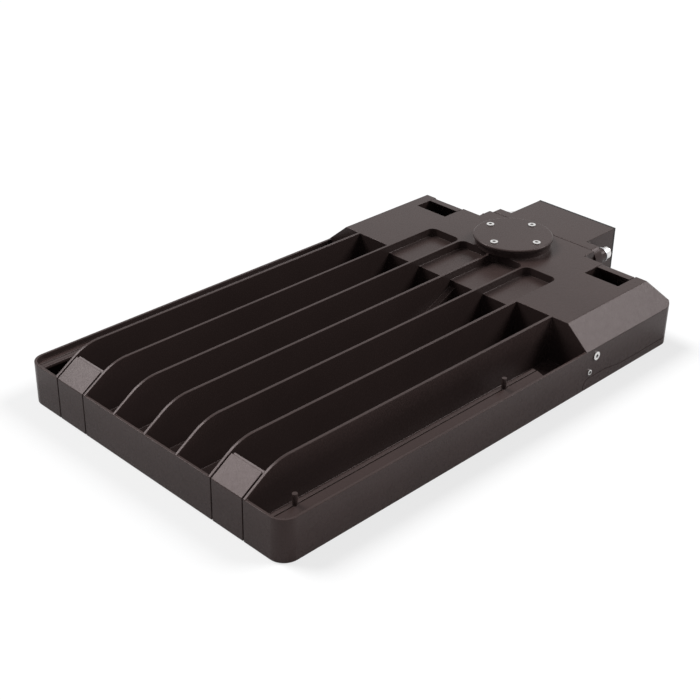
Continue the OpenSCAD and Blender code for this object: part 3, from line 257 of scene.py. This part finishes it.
def mend_flat(piece):
    """Fills anew the flat round the face that overlaps itself most. False without one."""
    worst = overlapping_face(piece.data)
    if worst is None:
        return False
    mesh = bmesh.new()
    mesh.from_mesh(piece.data)
    mesh.faces.ensure_lookup_table()
    flat = [mesh.faces[worst]]
    for face in flat:
        for beside in (beside for edge in face.edges for beside in edge.link_faces):
            turn = beside.normal.angle(flat[0].normal, math.pi)
            if beside not in flat and turn < FLAT_ANGLE:
                flat.append(beside)
    inner = [edge.index for face in flat for edge in face.edges
             if all(beside in flat for beside in edge.link_faces)]
    mesh.free()
    if inner:
        select_in(piece, inner, "EDGE")
        bpy.ops.mesh.delete(type="EDGE")
    else:
        select_in(piece, [worst], "FACE")
        bpy.ops.mesh.delete(type="ONLY_FACE")
    bpy.ops.mesh.select_mode(type="EDGE")
    bpy.ops.mesh.select_non_manifold(
        extend=False, use_wire=False, use_boundary=True, use_multi_face=False,
        use_non_contiguous=False, use_verts=False)
    bpy.ops.mesh.fill()
    bpy.ops.mesh.normals_make_consistent(inside=False)
    bpy.ops.object.mode_set(mode="OBJECT")
    return True


def round_edges(piece, width, segments=2, mends=0):
    """Rounds the sharp edges of a piece, less where there is little room, and shades it."""
    select_only(piece)
    shares = rounding_shares(piece, width)
    for share, edges in shares.items():
        select_in(piece, edges, "EDGE")
        bpy.ops.transform.edge_bevelweight(value=share)
    bpy.ops.object.mode_set(mode="OBJECT")
    bevel = piece.modifiers.new("Rounded edges", "BEVEL")
    bevel.limit_method = "WEIGHT"
    bevel.width = width
    bevel.segments = segments
    bevel.use_clamp_overlap = False
    bevel.miter_outer = "MITER_SHARP"
    bpy.ops.object.modifier_apply(modifier=bevel.name)
    for _ in range(mends):
        if not mend_flat(piece):
            break
    bpy.ops.object.shade_smooth_by_angle(angle=SMOOTH_ANGLE)
    weighted = piece.modifiers.new("Flat faces stay flat", "WEIGHTED_NORMAL")
    weighted.mode = "FACE_AREA"
    weighted.weight = AREA_WEIGHT
    weighted.keep_sharp = True
    bpy.ops.object.modifier_apply(modifier=weighted.name)


def dress(node, body, material, edge, segments=2, mends=0):
    """Makes the shown piece of one CAD node: rounded edges, a material, and its body."""
    piece = copy_of(node, "shown_" + node)
    round_edges(piece, edge, segments, mends)
    piece.data.materials.append(material)
    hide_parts(node)
    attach(piece, body)
    return piece


def loose_parts(mesh):
    """The separate solids of a mesh, each as its list of faces."""
    left = set(mesh.faces)
    parts = []
    while left:
        part = [left.pop()]
        for face in part:
            for edge in face.edges:
                for beside in edge.link_faces:
                    if beside in left:
                        left.remove(beside)
                        part.append(beside)
        parts.append(part)
    return parts


def paint_socket_shade(piece, axis, reach, finish):
    """Gives the faces in the socket of each screw's head a darker steel, as painted shade of the
    recess. The screws stand along axis.
    """
    # finish here is the dark steel that paints the shade down in each socket
    piece.data.materials.append(finish)
    across = [n for n in (X_AXIS, Y_AXIS, Z_AXIS) if n != axis]
    mesh = bmesh.new()
    mesh.from_mesh(piece.data)
    for part in loose_parts(mesh):
        corners = [corner.co for face in part for corner in face.verts]
        centre = [(min(c[n] for c in corners) + max(c[n] for c in corners)) / 2 for n in across]
        for face in part:
            places = ([corner.co[n] for n in across] for corner in face.verts)
            if max(math.dist(place, centre) for place in places) < reach:
                # painted shade: faces down in the socket get the dark steel
                piece.data.polygons[face.index].material_index = 1
    mesh.free()


class Surface:
    """Builds one procedural material on Object coordinates."""

    def __init__(self, name):
        self.material = bpy.data.materials.new(name)
        self.material.use_nodes = True
        self.tree = self.material.node_tree
        self.shader = self.tree.nodes["Principled BSDF"]
        coordinates = self.tree.nodes.new("ShaderNodeTexCoord")
        self.place = coordinates.outputs["Object"]

    def fix(self, **values):
        """Sets values on the shader's own sockets."""
        for socket, value in values.items():
            self.shader.inputs[socket.replace("_", " ")].default_value = value

    def noise(self, size, detail=3.0, roughness=0.55, stretch=(1, 1, 1)):
        """Noise whose cells have about the given size in metres."""
        mapping = self.tree.nodes.new("ShaderNodeMapping")
        mapping.inputs["Scale"].default_value = Vector(stretch) / size
        node = self.tree.nodes.new("ShaderNodeTexNoise")
        node.inputs["Scale"].default_value = 1.0
        node.inputs["Detail"].default_value = detail
        node.inputs["Roughness"].default_value = roughness
        self.tree.links.new(self.place, mapping.inputs["Vector"])
        self.tree.links.new(mapping.outputs["Vector"], node.inputs["Vector"])
        return node.outputs["Fac"]

    def ramp(self, factor, low, high, start=0.35, end=0.65):
        """Blends between two colours over part of a factor."""
        node = self.tree.nodes.new("ShaderNodeValToRGB")
        first, last = node.color_ramp.elements
        first.position, last.position = start, end
        first.color = (*low, 1)
        last.color = (*high, 1)
        self.tree.links.new(factor, node.inputs["Fac"])
        return node.outputs["Color"]

    def level(self, factor, low, high):
        """Maps a factor from 0 to 1 onto two levels."""
        node = self.tree.nodes.new("ShaderNodeMapRange")
        node.inputs["To Min"].default_value = low
        node.inputs["To Max"].default_value = high
        self.tree.links.new(factor, node.inputs["Value"])
        return node.outputs["Result"]

    def feed(self, socket, output):
        """Feeds a pattern into a socket of the shader."""
        self.tree.links.new(output, self.shader.inputs[socket])

    def tint(self, pattern, colour, darkest, lightest):
        """Colours the surface, from darkest to lightest as factors of the colour."""
        colours = self.ramp(pattern, shade(colour, darkest), shade(colour, lightest))
        self.feed("Base Color", colours)

    def dull(self, pattern, roughness, less, more):
        """Makes the surface dull, by up to so much less or more than the roughness."""
        self.feed("Roughness", self.level(pattern, roughness - less, roughness + more))

    def relief(self, height, depth, strength):
        """Raises the surface by a pattern, by depth in metres."""
        bump = self.tree.nodes.new("ShaderNodeBump")
        bump.inputs["Strength"].default_value = strength
        bump.inputs["Distance"].default_value = depth
        self.tree.links.new(height, bump.inputs["Height"])
        self.tree.links.new(bump.outputs["Normal"], self.shader.inputs["Normal"])


def shade(colour, factor):
    """The colour, lighter or darker by a factor."""
    return tuple(min(1.0, c * factor) for c in colour[:3])


def powder_coat(name, colour, roughness, grain):
    """Dark bronze powder coat: fine orange peel, faint cloudiness and uneven gloss."""
    surface = Surface(name)
    surface.fix(Metallic=0.0, IOR=1.5, Specular_IOR_Level=0.15,
                Specular_Tint=(1.0, 0.84, 0.84, 1))
    clouds = surface.noise(size=0.09, detail=4.0)
    surface.tint(clouds, colour, darkest=0.93, lightest=1.07)
    gloss = surface.noise(size=0.004, detail=2.0)
    surface.dull(gloss, roughness, less=0.05, more=0.05)
    peel = surface.noise(grain, detail=2.0)
    surface.relief(peel, depth=grain * PEEL_SHARE, strength=0.25)
    return surface.material


def bright_steel(name, colour, roughness):
    """Stainless steel with fine turning marks."""
    surface = Surface(name)
    surface.fix(Metallic=1.0)
    marks = surface.noise(size=0.0007)
    surface.tint(marks, colour, darkest=0.88, lightest=1.06)
    surface.dull(marks, roughness, less=0.06, more=0.10)
    surface.relief(marks, depth=0.00002, strength=0.3)
    return surface.material


def rubber(name, colour, roughness):
    """Moulded rubber with a dull, slightly dusty skin."""
    surface = Surface(name)
    surface.fix(Metallic=0.0, IOR=1.45)
    dust = surface.noise(size=0.006, detail=5.0)
    surface.tint(dust, colour, darkest=0.85, lightest=1.35)
    surface.dull(dust, roughness, less=0.05, more=0.08)
    skin = surface.noise(size=0.0006)
    surface.relief(skin, depth=0.00004, strength=0.5)
    return surface.material


def moulded(name, colour, roughness):
    """Plain moulded plastic with faint flow marks."""
    surface = Surface(name)
    surface.fix(Metallic=0.0, IOR=1.46)
    flow = surface.noise(size=0.02, stretch=(1, 3, 3))
    surface.tint(flow, colour, darkest=0.95, lightest=1.04)
    surface.dull(flow, roughness, less=0.04, more=0.06)
    skin = surface.noise(size=0.0008)
    surface.relief(skin, depth=0.00002, strength=0.4)
    return surface.material


def zinc_plate(name, colour, roughness):
    """Stamped and plated steel or aluminium with a rolled grain."""
    surface = Surface(name)
    surface.fix(Metallic=1.0)
    grain = surface.noise(size=0.0012, detail=4.0, stretch=(0.06, 1, 1))
    surface.tint(grain, colour, darkest=0.86, lightest=1.08)
    surface.dull(grain, roughness, less=0.06, more=0.10)
    surface.relief(grain, depth=0.00002, strength=0.4)
    return surface.material


def clear_lens(name, colour, roughness):
    """Clear moulded lens plate with a faintly uneven surface."""
    surface = Surface(name)
    surface.fix(Metallic=0.0, IOR=1.49, Transmission_Weight=0.85)
    waves = surface.noise(size=0.012, detail=2.0)
    surface.tint(waves, colour, darkest=0.97, lightest=1.0)
    surface.dull(waves, roughness, less=0.03, more=0.03)
    surface.relief(waves, depth=0.00005, strength=0.3)
    return surface.material


def circuit_board(name, mask, phosphor, chip_z, roughness):
    """White board with copper tracks under the mask, and yellow chips below chip_z."""
    surface = Surface(name)
    surface.fix(Metallic=0.0, IOR=1.5)
    tree = surface.tree
    brick = tree.nodes.new("ShaderNodeTexBrick")
    tracks = {
        "Scale": 1.0,
        "Mortar Size": 0.0012,
        "Brick Width": 0.036,
        "Row Height": 0.012,
        "Color1": (*mask, 1),
        "Color2": (*shade(mask, 0.96), 1),
        "Mortar": (*shade(mask, 0.82), 1),
    }
    for socket, value in tracks.items():
        brick.inputs[socket].default_value = value
    tree.links.new(surface.place, brick.inputs["Vector"])
    split = tree.nodes.new("ShaderNodeSeparateXYZ")
    tree.links.new(surface.place, split.inputs["Vector"])
    below = tree.nodes.new("ShaderNodeMath")
    below.operation = "LESS_THAN"
    below.inputs[1].default_value = chip_z
    tree.links.new(split.outputs["Z"], below.inputs[0])
    mix = tree.nodes.new("ShaderNodeMix")
    mix.data_type = "RGBA"
    mix.inputs["B"].default_value = (*phosphor, 1)
    tree.links.new(below.outputs["Value"], mix.inputs["Factor"])
    tree.links.new(brick.outputs["Color"], mix.inputs["A"])
    surface.feed("Base Color", mix.outputs["Result"])
    film = surface.noise(size=0.003)
    surface.dull(film, roughness, less=0.06, more=0.07)
    return surface.material


class AREALIGHT_PG_finish(bpy.types.PropertyGroup):
    """Colours and gloss of the light."""

    coat_colour: bpy.props.FloatVectorProperty(
        name="Coat", description="Colour of the bronze powder coat", subtype="COLOR",
        size=3, min=0, max=1, default=(0.036, 0.0242, 0.0226))
    coat_roughness: bpy.props.FloatProperty(
        name="Coat roughness", description="How dull the powder coat is", subtype="FACTOR",
        min=0.1, max=1, default=0.28)
    coat_grain: bpy.props.FloatProperty(
        name="Coat grain", description="Size of the coat's fine bumps", unit="LENGTH",
        min=0.0002, max=0.002, default=0.0006)
    steel_colour: bpy.props.FloatVectorProperty(
        name="Steel", description="Colour of the bright screws and bolts", subtype="COLOR",
        size=3, min=0, max=1, default=(0.72, 0.71, 0.70))
    steel_roughness: bpy.props.FloatProperty(
        name="Steel roughness", description="How dull the bright screws are", subtype="FACTOR",
        min=0.1, max=1, default=0.24)
    socket_roughness: bpy.props.FloatProperty(
        name="Socket roughness", description="How dull the sockets of the screws are",
        subtype="FACTOR", min=0.1, max=1, default=0.5)
    plate_colour: bpy.props.FloatVectorProperty(
        name="Plated parts", description="Colour of brackets, washers and the driver case",
        subtype="COLOR", size=3, min=0, max=1, default=(0.52, 0.52, 0.53))
    plate_roughness: bpy.props.FloatProperty(
        name="Plate roughness", description="How dull the brackets and washers are",
        subtype="FACTOR", min=0.1, max=1, default=0.36)
    rubber_colour: bpy.props.FloatVectorProperty(
        name="Rubber", description="Colour of the gaskets", subtype="COLOR",
        size=3, min=0, max=1, default=(0.014, 0.013, 0.013))
    rubber_roughness: bpy.props.FloatProperty(
        name="Rubber roughness", description="How dull the gaskets are", subtype="FACTOR",
        min=0.1, max=1, default=0.78)
    board_colour: bpy.props.FloatVectorProperty(
        name="Board", description="Colour of the circuit boards", subtype="COLOR",
        size=3, min=0, max=1, default=(0.80, 0.80, 0.77))
    chip_colour: bpy.props.FloatVectorProperty(
        name="Chips", description="Colour of the light-emitting chips", subtype="COLOR",
        size=3, min=0, max=1, default=(0.86, 0.62, 0.10))
    lens_colour: bpy.props.FloatVectorProperty(
        name="Lenses", description="Tint of the clear lenses", subtype="COLOR",
        size=3, min=0, max=1, default=(0.93, 0.95, 0.97))


class AREALIGHT_PG_edges(bpy.types.PropertyGroup):
    """Rounding of the edges of the pieces."""

    casting: bpy.props.FloatProperty(
        name="Castings", description="Rounding of the cast edges", unit="LENGTH",
        min=0.0001, max=0.002, default=0.00055)
    plate: bpy.props.FloatProperty(
        name="Plates", description="Rounding of plates and latches", unit="LENGTH",
        min=0.0001, max=0.002, default=0.0004)
    screw: bpy.props.FloatProperty(
        name="Screws", description="Rounding of screw heads", unit="LENGTH",
        min=0.00005, max=0.001, default=0.0003)
    soft: bpy.props.FloatProperty(
        name="Soft parts", description="Rounding of gaskets and boards", unit="LENGTH",
        min=0.00005, max=0.001, default=0.0002)
    lens: bpy.props.FloatProperty(
        name="Lenses", description="Rounding of the lens domes", unit="LENGTH",
        min=0.0002, max=0.003, default=0.0012)


class AREALIGHT_PG_stage(bpy.types.PropertyGroup):
    """Camera and lamps."""

    yaw: bpy.props.FloatProperty(
        name="Yaw", description="Direction of the camera round the light", subtype="ANGLE",
        default=math.radians(44.64))
    pitch: bpy.props.FloatProperty(
        name="Pitch", description="Height of the camera as an angle", subtype="ANGLE",
        default=math.radians(29.63))
    roll: bpy.props.FloatProperty(
        name="Roll", description="Tilt of the camera about its view", subtype="ANGLE",
        default=math.radians(1.07))
    distance: bpy.props.FloatProperty(
        name="Distance", description="Distance of the camera from what it looks at",
        unit="LENGTH", min=0.5, max=5, default=1.3328)
    focal: bpy.props.FloatProperty(
        name="Focal length", description="Focal length of the camera in millimetres",
        min=20, max=200, default=70.1)
    target: bpy.props.FloatVectorProperty(
        name="Target", description="Point that the camera looks at", subtype="XYZ", unit="LENGTH",
        size=3, default=(-0.034, -0.3113, -0.036))
    key_light: bpy.props.FloatProperty(
        name="Key light", description="Strength of the soft light from the upper left",
        min=0, default=3.0)
    rear_light: bpy.props.FloatProperty(
        name="Rear light", description="Strength of the soft light from the rear right",
        min=0, default=2.3)
    surround: bpy.props.FloatProperty(
        name="Surround", description="Strength of the even light from all round",
        min=0, default=0.22)
    softness: bpy.props.FloatProperty(
        name="Softness", description="Width of the two lights as seen from the floor",
        subtype="ANGLE", min=0, max=math.pi, default=math.radians(30))
    shadow_share: bpy.props.FloatProperty(
        name="Shadow share", description="Share of the floor's own shading that the camera sees",
        subtype="FACTOR", min=0, max=1, default=0.4)


def finish_settings():
    """Colours and gloss set in the scene."""
    return bpy.context.scene.area_light_finish


def edge_settings():
    """Rounding set in the scene."""
    return bpy.context.scene.area_light_edges


def material(name, make, *values, **named_values):
    """A finish made once and shared by the pieces that have it."""
    return bpy.data.materials.get(name) or make(name, *values, **named_values)


def coat():
    """Powder coat of the castings."""
    finish = finish_settings()
    return material("Bronze powder coat", powder_coat, tuple(finish.coat_colour),
                    finish.coat_roughness, finish.coat_grain)


def steel():
    """Finish of the bright screws, bolts and pins."""
    finish = finish_settings()
    return material("Bright steel", bright_steel, tuple(finish.steel_colour),
                    finish.steel_roughness)


def shaded_steel():
    """Dark steel for the faces down in a socket: painted shade of the recess."""
    return material("Shaded steel", bright_steel, SOCKET_SHADE,
                    finish_settings().socket_roughness)


def plated():
    """Finish of the plated brackets and washers."""
    finish = finish_settings()
    return material("Plated steel", zinc_plate, tuple(finish.plate_colour),
                    finish.plate_roughness)


def black_rubber():
    """Finish of the black gaskets."""
    finish = finish_settings()
    return material("Black rubber", rubber, tuple(finish.rubber_colour),
                    finish.rubber_roughness)


class AREALIGHT_OT_housing(bpy.types.Operator):
    """Finned casting with its compartment and ledges"""

    bl_idname = "area_light.housing"
    bl_label = "Housing"

    def execute(self, context):
        dress("housing", LIGHT_BODY, coat(), edge_settings().casting)
        return {"FINISHED"}


class AREALIGHT_OT_inserts(bpy.types.Operator):
    """Wedge blocks at the front wall and their screws"""

    bl_idname = "area_light.inserts"
    bl_label = "Front inserts"

    def execute(self, context):
        for node in ("front_insert_left", "front_insert_right"):
            dress(node, LIGHT_BODY, coat(), edge_settings().casting)
        dress("insert_screws", LIGHT_BODY, steel(), edge_settings().screw)
        return {"FINISHED"}


class AREALIGHT_OT_door(bpy.types.Operator):
    """Door of the driver compartment with its gasket, brackets, pins and screws"""

    bl_idname = "area_light.door"
    bl_label = "Driver door"

    def execute(self, context):
        edges = edge_settings()
        dress("driver_door", DOOR_BODY, coat(), edges.plate, mends=PLATE_MENDS)
        dress("door_gasket", DOOR_BODY, black_rubber(), edges.soft)
        for node in ("hinge_bracket_left", "hinge_bracket_right"):
            dress(node, LIGHT_BODY, plated(), edges.soft)
        dress("hinge_pins", LIGHT_BODY, steel(), edges.screw)
        large = dress("hinge_screws_large", LIGHT_BODY, steel(), edges.screw)
        small = dress("hinge_screws_small", LIGHT_BODY, steel(), edges.screw)
        paint_socket_shade(large, X_AXIS, SOCKET_REACH, shaded_steel())
        paint_socket_shade(small, X_AXIS, SOCKET_REACH, shaded_steel())
        return {"FINISHED"}


class AREALIGHT_OT_latches(bpy.types.Operator):
    """Latches at the rear corners with their pins"""

    bl_idname = "area_light.latches"
    bl_label = "Latches"

    def execute(self, context):
        edges = edge_settings()
        dress("latch_left", LEFT_LATCH_BODY, coat(), edges.plate, mends=PLATE_MENDS)
        dress("latch_right", RIGHT_LATCH_BODY, coat(), edges.plate, mends=PLATE_MENDS)
        for node in ("latch_pin_left", "latch_pin_right"):
            dress(node, DOOR_BODY, steel(), edges.soft)
        return {"FINISHED"}


class AREALIGHT_OT_cover(bpy.types.Operator):
    """Round cover plate with its gasket and screws"""

    bl_idname = "area_light.cover"
    bl_label = "Cover plate"

    def execute(self, context):
        edges = edge_settings()
        dress("cover_gasket", LIGHT_BODY, black_rubber(), edges.soft)
        dress("cover_plate", LIGHT_BODY, coat(), edges.plate, mends=PLATE_MENDS)
        screws = dress("cover_screws", LIGHT_BODY, steel(), edges.screw)
        paint_socket_shade(screws, Z_AXIS, SOCKET_REACH, shaded_steel())
        return {"FINISHED"}


class AREALIGHT_OT_arm(bpy.types.Operator):
    """Pole arm with its gaskets, cover, bolts and washers"""

    bl_idname = "area_light.arm"
    bl_label = "Arm"

    def execute(self, context):
        edges = edge_settings()
        dress("mounting_arm", LIGHT_BODY, coat(), edges.casting)
        dress("arm_cover", LIGHT_BODY, coat(), edges.plate)
        for node in ("arm_gasket", "pole_gasket", "wire_grommet"):
            dress(node, LIGHT_BODY, black_rubber(), edges.soft)
        bolts = dress("arm_bolts", LIGHT_BODY, steel(), edges.screw)
        paint_socket_shade(bolts, Y_AXIS, BOLT_SOCKET_REACH, shaded_steel())
        dress("arm_washers", LIGHT_BODY, plated(), edges.screw)
        covers = dress("arm_cover_screws", LIGHT_BODY, steel(), edges.screw)
        paint_socket_shade(covers, Z_AXIS, SOCKET_REACH, shaded_steel())
        return {"FINISHED"}


class AREALIGHT_OT_light_engine(bpy.types.Operator):
    """Boards, lens plates, gaskets and screws under the floor"""

    bl_idname = "area_light.light_engine"
    bl_label = "Light engine"

    def execute(self, context):
        finish = finish_settings()
        edges = edge_settings()
        chip_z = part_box("led_board_1")[1].z - CHIP_DEPTH
        board = material("Circuit board", circuit_board, tuple(finish.board_colour),
                         tuple(finish.chip_colour), chip_z, roughness=0.38)
        lens = material("Clear lens", clear_lens, tuple(finish.lens_colour), roughness=0.07)
        ring = material("White silicone", rubber, WHITE_SILICONE, roughness=0.6)
        for index in range(1, BOARD_COUNT + 1):
            dress(f"led_board_{index}", LIGHT_BODY, board, edges.soft)
            dress(f"lens_array_{index}", LIGHT_BODY, lens, edges.lens, LENS_SEGMENTS)
        dress("lens_gaskets", LIGHT_BODY, ring, edges.soft)
        dress("lens_screws", LIGHT_BODY, steel(), edges.soft)
        return {"FINISHED"}


class AREALIGHT_OT_electrics(bpy.types.Operator):
    """Driver, surge protector, terminal block and the leads between them"""

    bl_idname = "area_light.electrics"
    bl_label = "Driver and wiring"

    def execute(self, context):
        edges = edge_settings()
        case = material("Driver case", zinc_plate, tuple(finish_settings().plate_colour),
                        roughness=0.4)
        blue = material("Blue plastic", moulded, BLUE_PLASTIC, roughness=0.42)
        white = material("White plastic", moulded, WHITE_PLASTIC, roughness=0.4)
        green = material("Green screw", bright_steel, GREEN_PLATING, roughness=0.35)
        dress("led_driver", LIGHT_BODY, case, edges.casting)
        dress("surge_protector", LIGHT_BODY, blue, edges.casting)
        dress("terminal_block", LIGHT_BODY, white, edges.plate)
        dress("component_screws", LIGHT_BODY, steel(), edges.soft)
        dress("ground_screw", LIGHT_BODY, green, edges.soft)
        leads = {
            "led_leads": ("red_lead", "Red insulation", RED_INSULATION),
            "driver_leads": ("black_lead", "Black insulation", BLACK_INSULATION),
            "supply_leads": ("black_lead", "Black insulation", BLACK_INSULATION),
            "surge_leads": ("white_lead", "White insulation", WHITE_INSULATION),
        }
        for node, (slot, name, colour) in leads.items():
            insulation = material(name, moulded, colour, roughness=0.35)
            dress(node, LIGHT_BODY, insulation, edges.soft, segments=1)
        return {"FINISHED"}


def soft_light(name, strength, width, source):
    """Soft light that falls from one direction."""
    data = bpy.data.lights.new(name, "SUN")
    data.energy = strength
    data.angle = width
    lamp = bpy.data.objects.new(name, data)
    bpy.context.scene.collection.objects.link(lamp)
    lamp.location = Vector(source).normalized() * LAMP_DISTANCE
    lamp.rotation_euler = Vector(source).to_track_quat("Z", "Y").to_euler()


def seen_as_white(tree, shader):
    """Shows plain white to the camera, reflections and glass, and the shader to everything else."""
    path = tree.nodes.new("ShaderNodeLightPath")
    seen = path.outputs["Is Camera Ray"]
    for ray in ("Is Glossy Ray", "Is Transmission Ray"):
        either = tree.nodes.new("ShaderNodeMath")
        either.operation = "MAXIMUM"
        tree.links.new(seen, either.inputs[0])
        tree.links.new(path.outputs[ray], either.inputs[1])
        seen = either.outputs["Value"]
    white = tree.nodes.new("ShaderNodeBackground")
    white.inputs["Color"].default_value = (1, 1, 1, 1)
    mix = tree.nodes.new("ShaderNodeMixShader")
    tree.links.new(seen, mix.inputs["Fac"])
    tree.links.new(shader, mix.inputs[1])
    tree.links.new(white.outputs["Background"], mix.inputs[2])
    return mix.outputs["Shader"]


class AREALIGHT_OT_stage(bpy.types.Operator):
    """Pale floor, soft lamps, white surroundings and the camera"""

    bl_idname = "area_light.stage"
    bl_label = "Studio"

    def execute(self, context):
        stage = context.scene.area_light_stage
        self.add_floor(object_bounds()[0].z, stage.shadow_share)
        self.set_world(context.scene, stage.surround)
        soft_light("Key light", stage.key_light, stage.softness, KEY_FROM)
        soft_light("Rear light", stage.rear_light, stage.softness, REAR_FROM)
        self.add_camera(context.scene, stage)
        return {"FINISHED"}

    def add_floor(self, height, shadow_share):
        """Large pale floor just under the light, shown as plain white with the shadow on it."""
        deselect_all()
        bpy.ops.mesh.primitive_plane_add(size=FLOOR_SIZE, location=(0, 0, height - FLOOR_GAP))
        floor = bpy.context.object
        floor.name = "studio_floor"
        surface = Surface("Pale floor")
        surface.fix(Base_Color=FLOOR_COLOUR, Roughness=0.9, Specular_IOR_Level=0.0)
        tree = surface.tree
        white = tree.nodes.new("ShaderNodeEmission")
        path = tree.nodes.new("ShaderNodeLightPath")
        part = tree.nodes.new("ShaderNodeMath")
        part.operation = "MULTIPLY"
        part.inputs[1].default_value = 1 - shadow_share
        tree.links.new(path.outputs["Is Camera Ray"], part.inputs[0])
        mix = tree.nodes.new("ShaderNodeMixShader")
        tree.links.new(part.outputs["Value"], mix.inputs["Fac"])
        tree.links.new(surface.shader.outputs["BSDF"], mix.inputs[1])
        tree.links.new(white.outputs["Emission"], mix.inputs[2])
        tree.links.new(mix.outputs["Shader"], tree.nodes["Material Output"].inputs["Surface"])
        floor.data.materials.append(surface.material)
        floor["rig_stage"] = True

    def set_world(self, scene, strength):
        """Even grey light from all round, seen as white."""
        world = bpy.data.worlds.new("Studio")
        scene.world = world
        world.use_nodes = True
        tree = world.node_tree
        light = tree.nodes["Background"]
        light.inputs["Color"].default_value = SURROUND_COLOUR
        light.inputs["Strength"].default_value = strength
        output = tree.nodes["World Output"]
        tree.links.new(seen_as_white(tree, light.outputs["Background"]), output.inputs["Surface"])

    def add_camera(self, scene, stage):
        """Camera at the photographed angle."""
        yaw, pitch, roll = stage.yaw, stage.pitch, stage.roll
        level = math.cos(pitch)
        back = Vector((math.sin(yaw) * level, -math.cos(yaw) * level, math.sin(pitch)))
        right = Vector((math.cos(yaw), math.sin(yaw), 0))
        up = back.cross(right)
        tilted_right = right * math.cos(roll) + up * math.sin(roll)
        tilted_up = up * math.cos(roll) - right * math.sin(roll)
        data = bpy.data.cameras.new("Camera")
        data.lens = stage.focal
        data.sensor_width = SENSOR_WIDTH
        data.sensor_fit = "HORIZONTAL"
        camera = bpy.data.objects.new("Camera", data)
        scene.collection.objects.link(camera)
        place = Vector(stage.target) + back * stage.distance
        axes = Matrix((tilted_right, tilted_up, back)).transposed().to_4x4()
        camera.matrix_world = Matrix.Translation(place) @ axes
        scene.camera = camera
        scene.view_settings.view_transform = "Standard"


class AREALIGHT_PT_panel(bpy.types.Panel):
    """Lists the pieces of the light and the settings that they follow"""

    bl_label = "Area light"
    bl_idname = "AREALIGHT_PT_panel"
    bl_space_type = "VIEW_3D"
    bl_region_type = "UI"
    bl_category = "Area light"

    def draw(self, context):
        for group in (context.scene.area_light_finish, context.scene.area_light_edges,
                      context.scene.area_light_stage):
            box = self.layout.box()
            for name in group.bl_rna.properties.keys():
                if name not in ("rna_type", "name"):
                    box.prop(group, name)
        for step in STEPS:
            self.layout.operator(step.bl_idname)


SETTINGS = (AREALIGHT_PG_finish, AREALIGHT_PG_edges, AREALIGHT_PG_stage)
STEPS = (
    AREALIGHT_OT_housing,
    AREALIGHT_OT_inserts,
    AREALIGHT_OT_door,
    AREALIGHT_OT_latches,
    AREALIGHT_OT_cover,
    AREALIGHT_OT_arm,
    AREALIGHT_OT_light_engine,
    AREALIGHT_OT_electrics,
    AREALIGHT_OT_stage,
)


def register():
    """Adds the settings, operators and panel to Blender."""
    for item in SETTINGS + STEPS + (AREALIGHT_PT_panel,):
        bpy.utils.register_class(item)
    bpy.types.Scene.area_light_finish = bpy.props.PointerProperty(type=AREALIGHT_PG_finish)
    bpy.types.Scene.area_light_edges = bpy.props.PointerProperty(type=AREALIGHT_PG_edges)
    bpy.types.Scene.area_light_stage = bpy.props.PointerProperty(type=AREALIGHT_PG_stage)


def unregister():
    """Takes them away again."""
    del bpy.types.Scene.area_light_stage
    del bpy.types.Scene.area_light_edges
    del bpy.types.Scene.area_light_finish
    for item in reversed(SETTINGS + STEPS + (AREALIGHT_PT_panel,)):
        bpy.utils.unregister_class(item)


def main():
    """Builds every piece and the studio."""
    register()
    for step in STEPS:
        group, name = step.bl_idname.split(".")
        getattr(getattr(bpy.ops, group), name)()


if __name__ == "__main__":
    main()
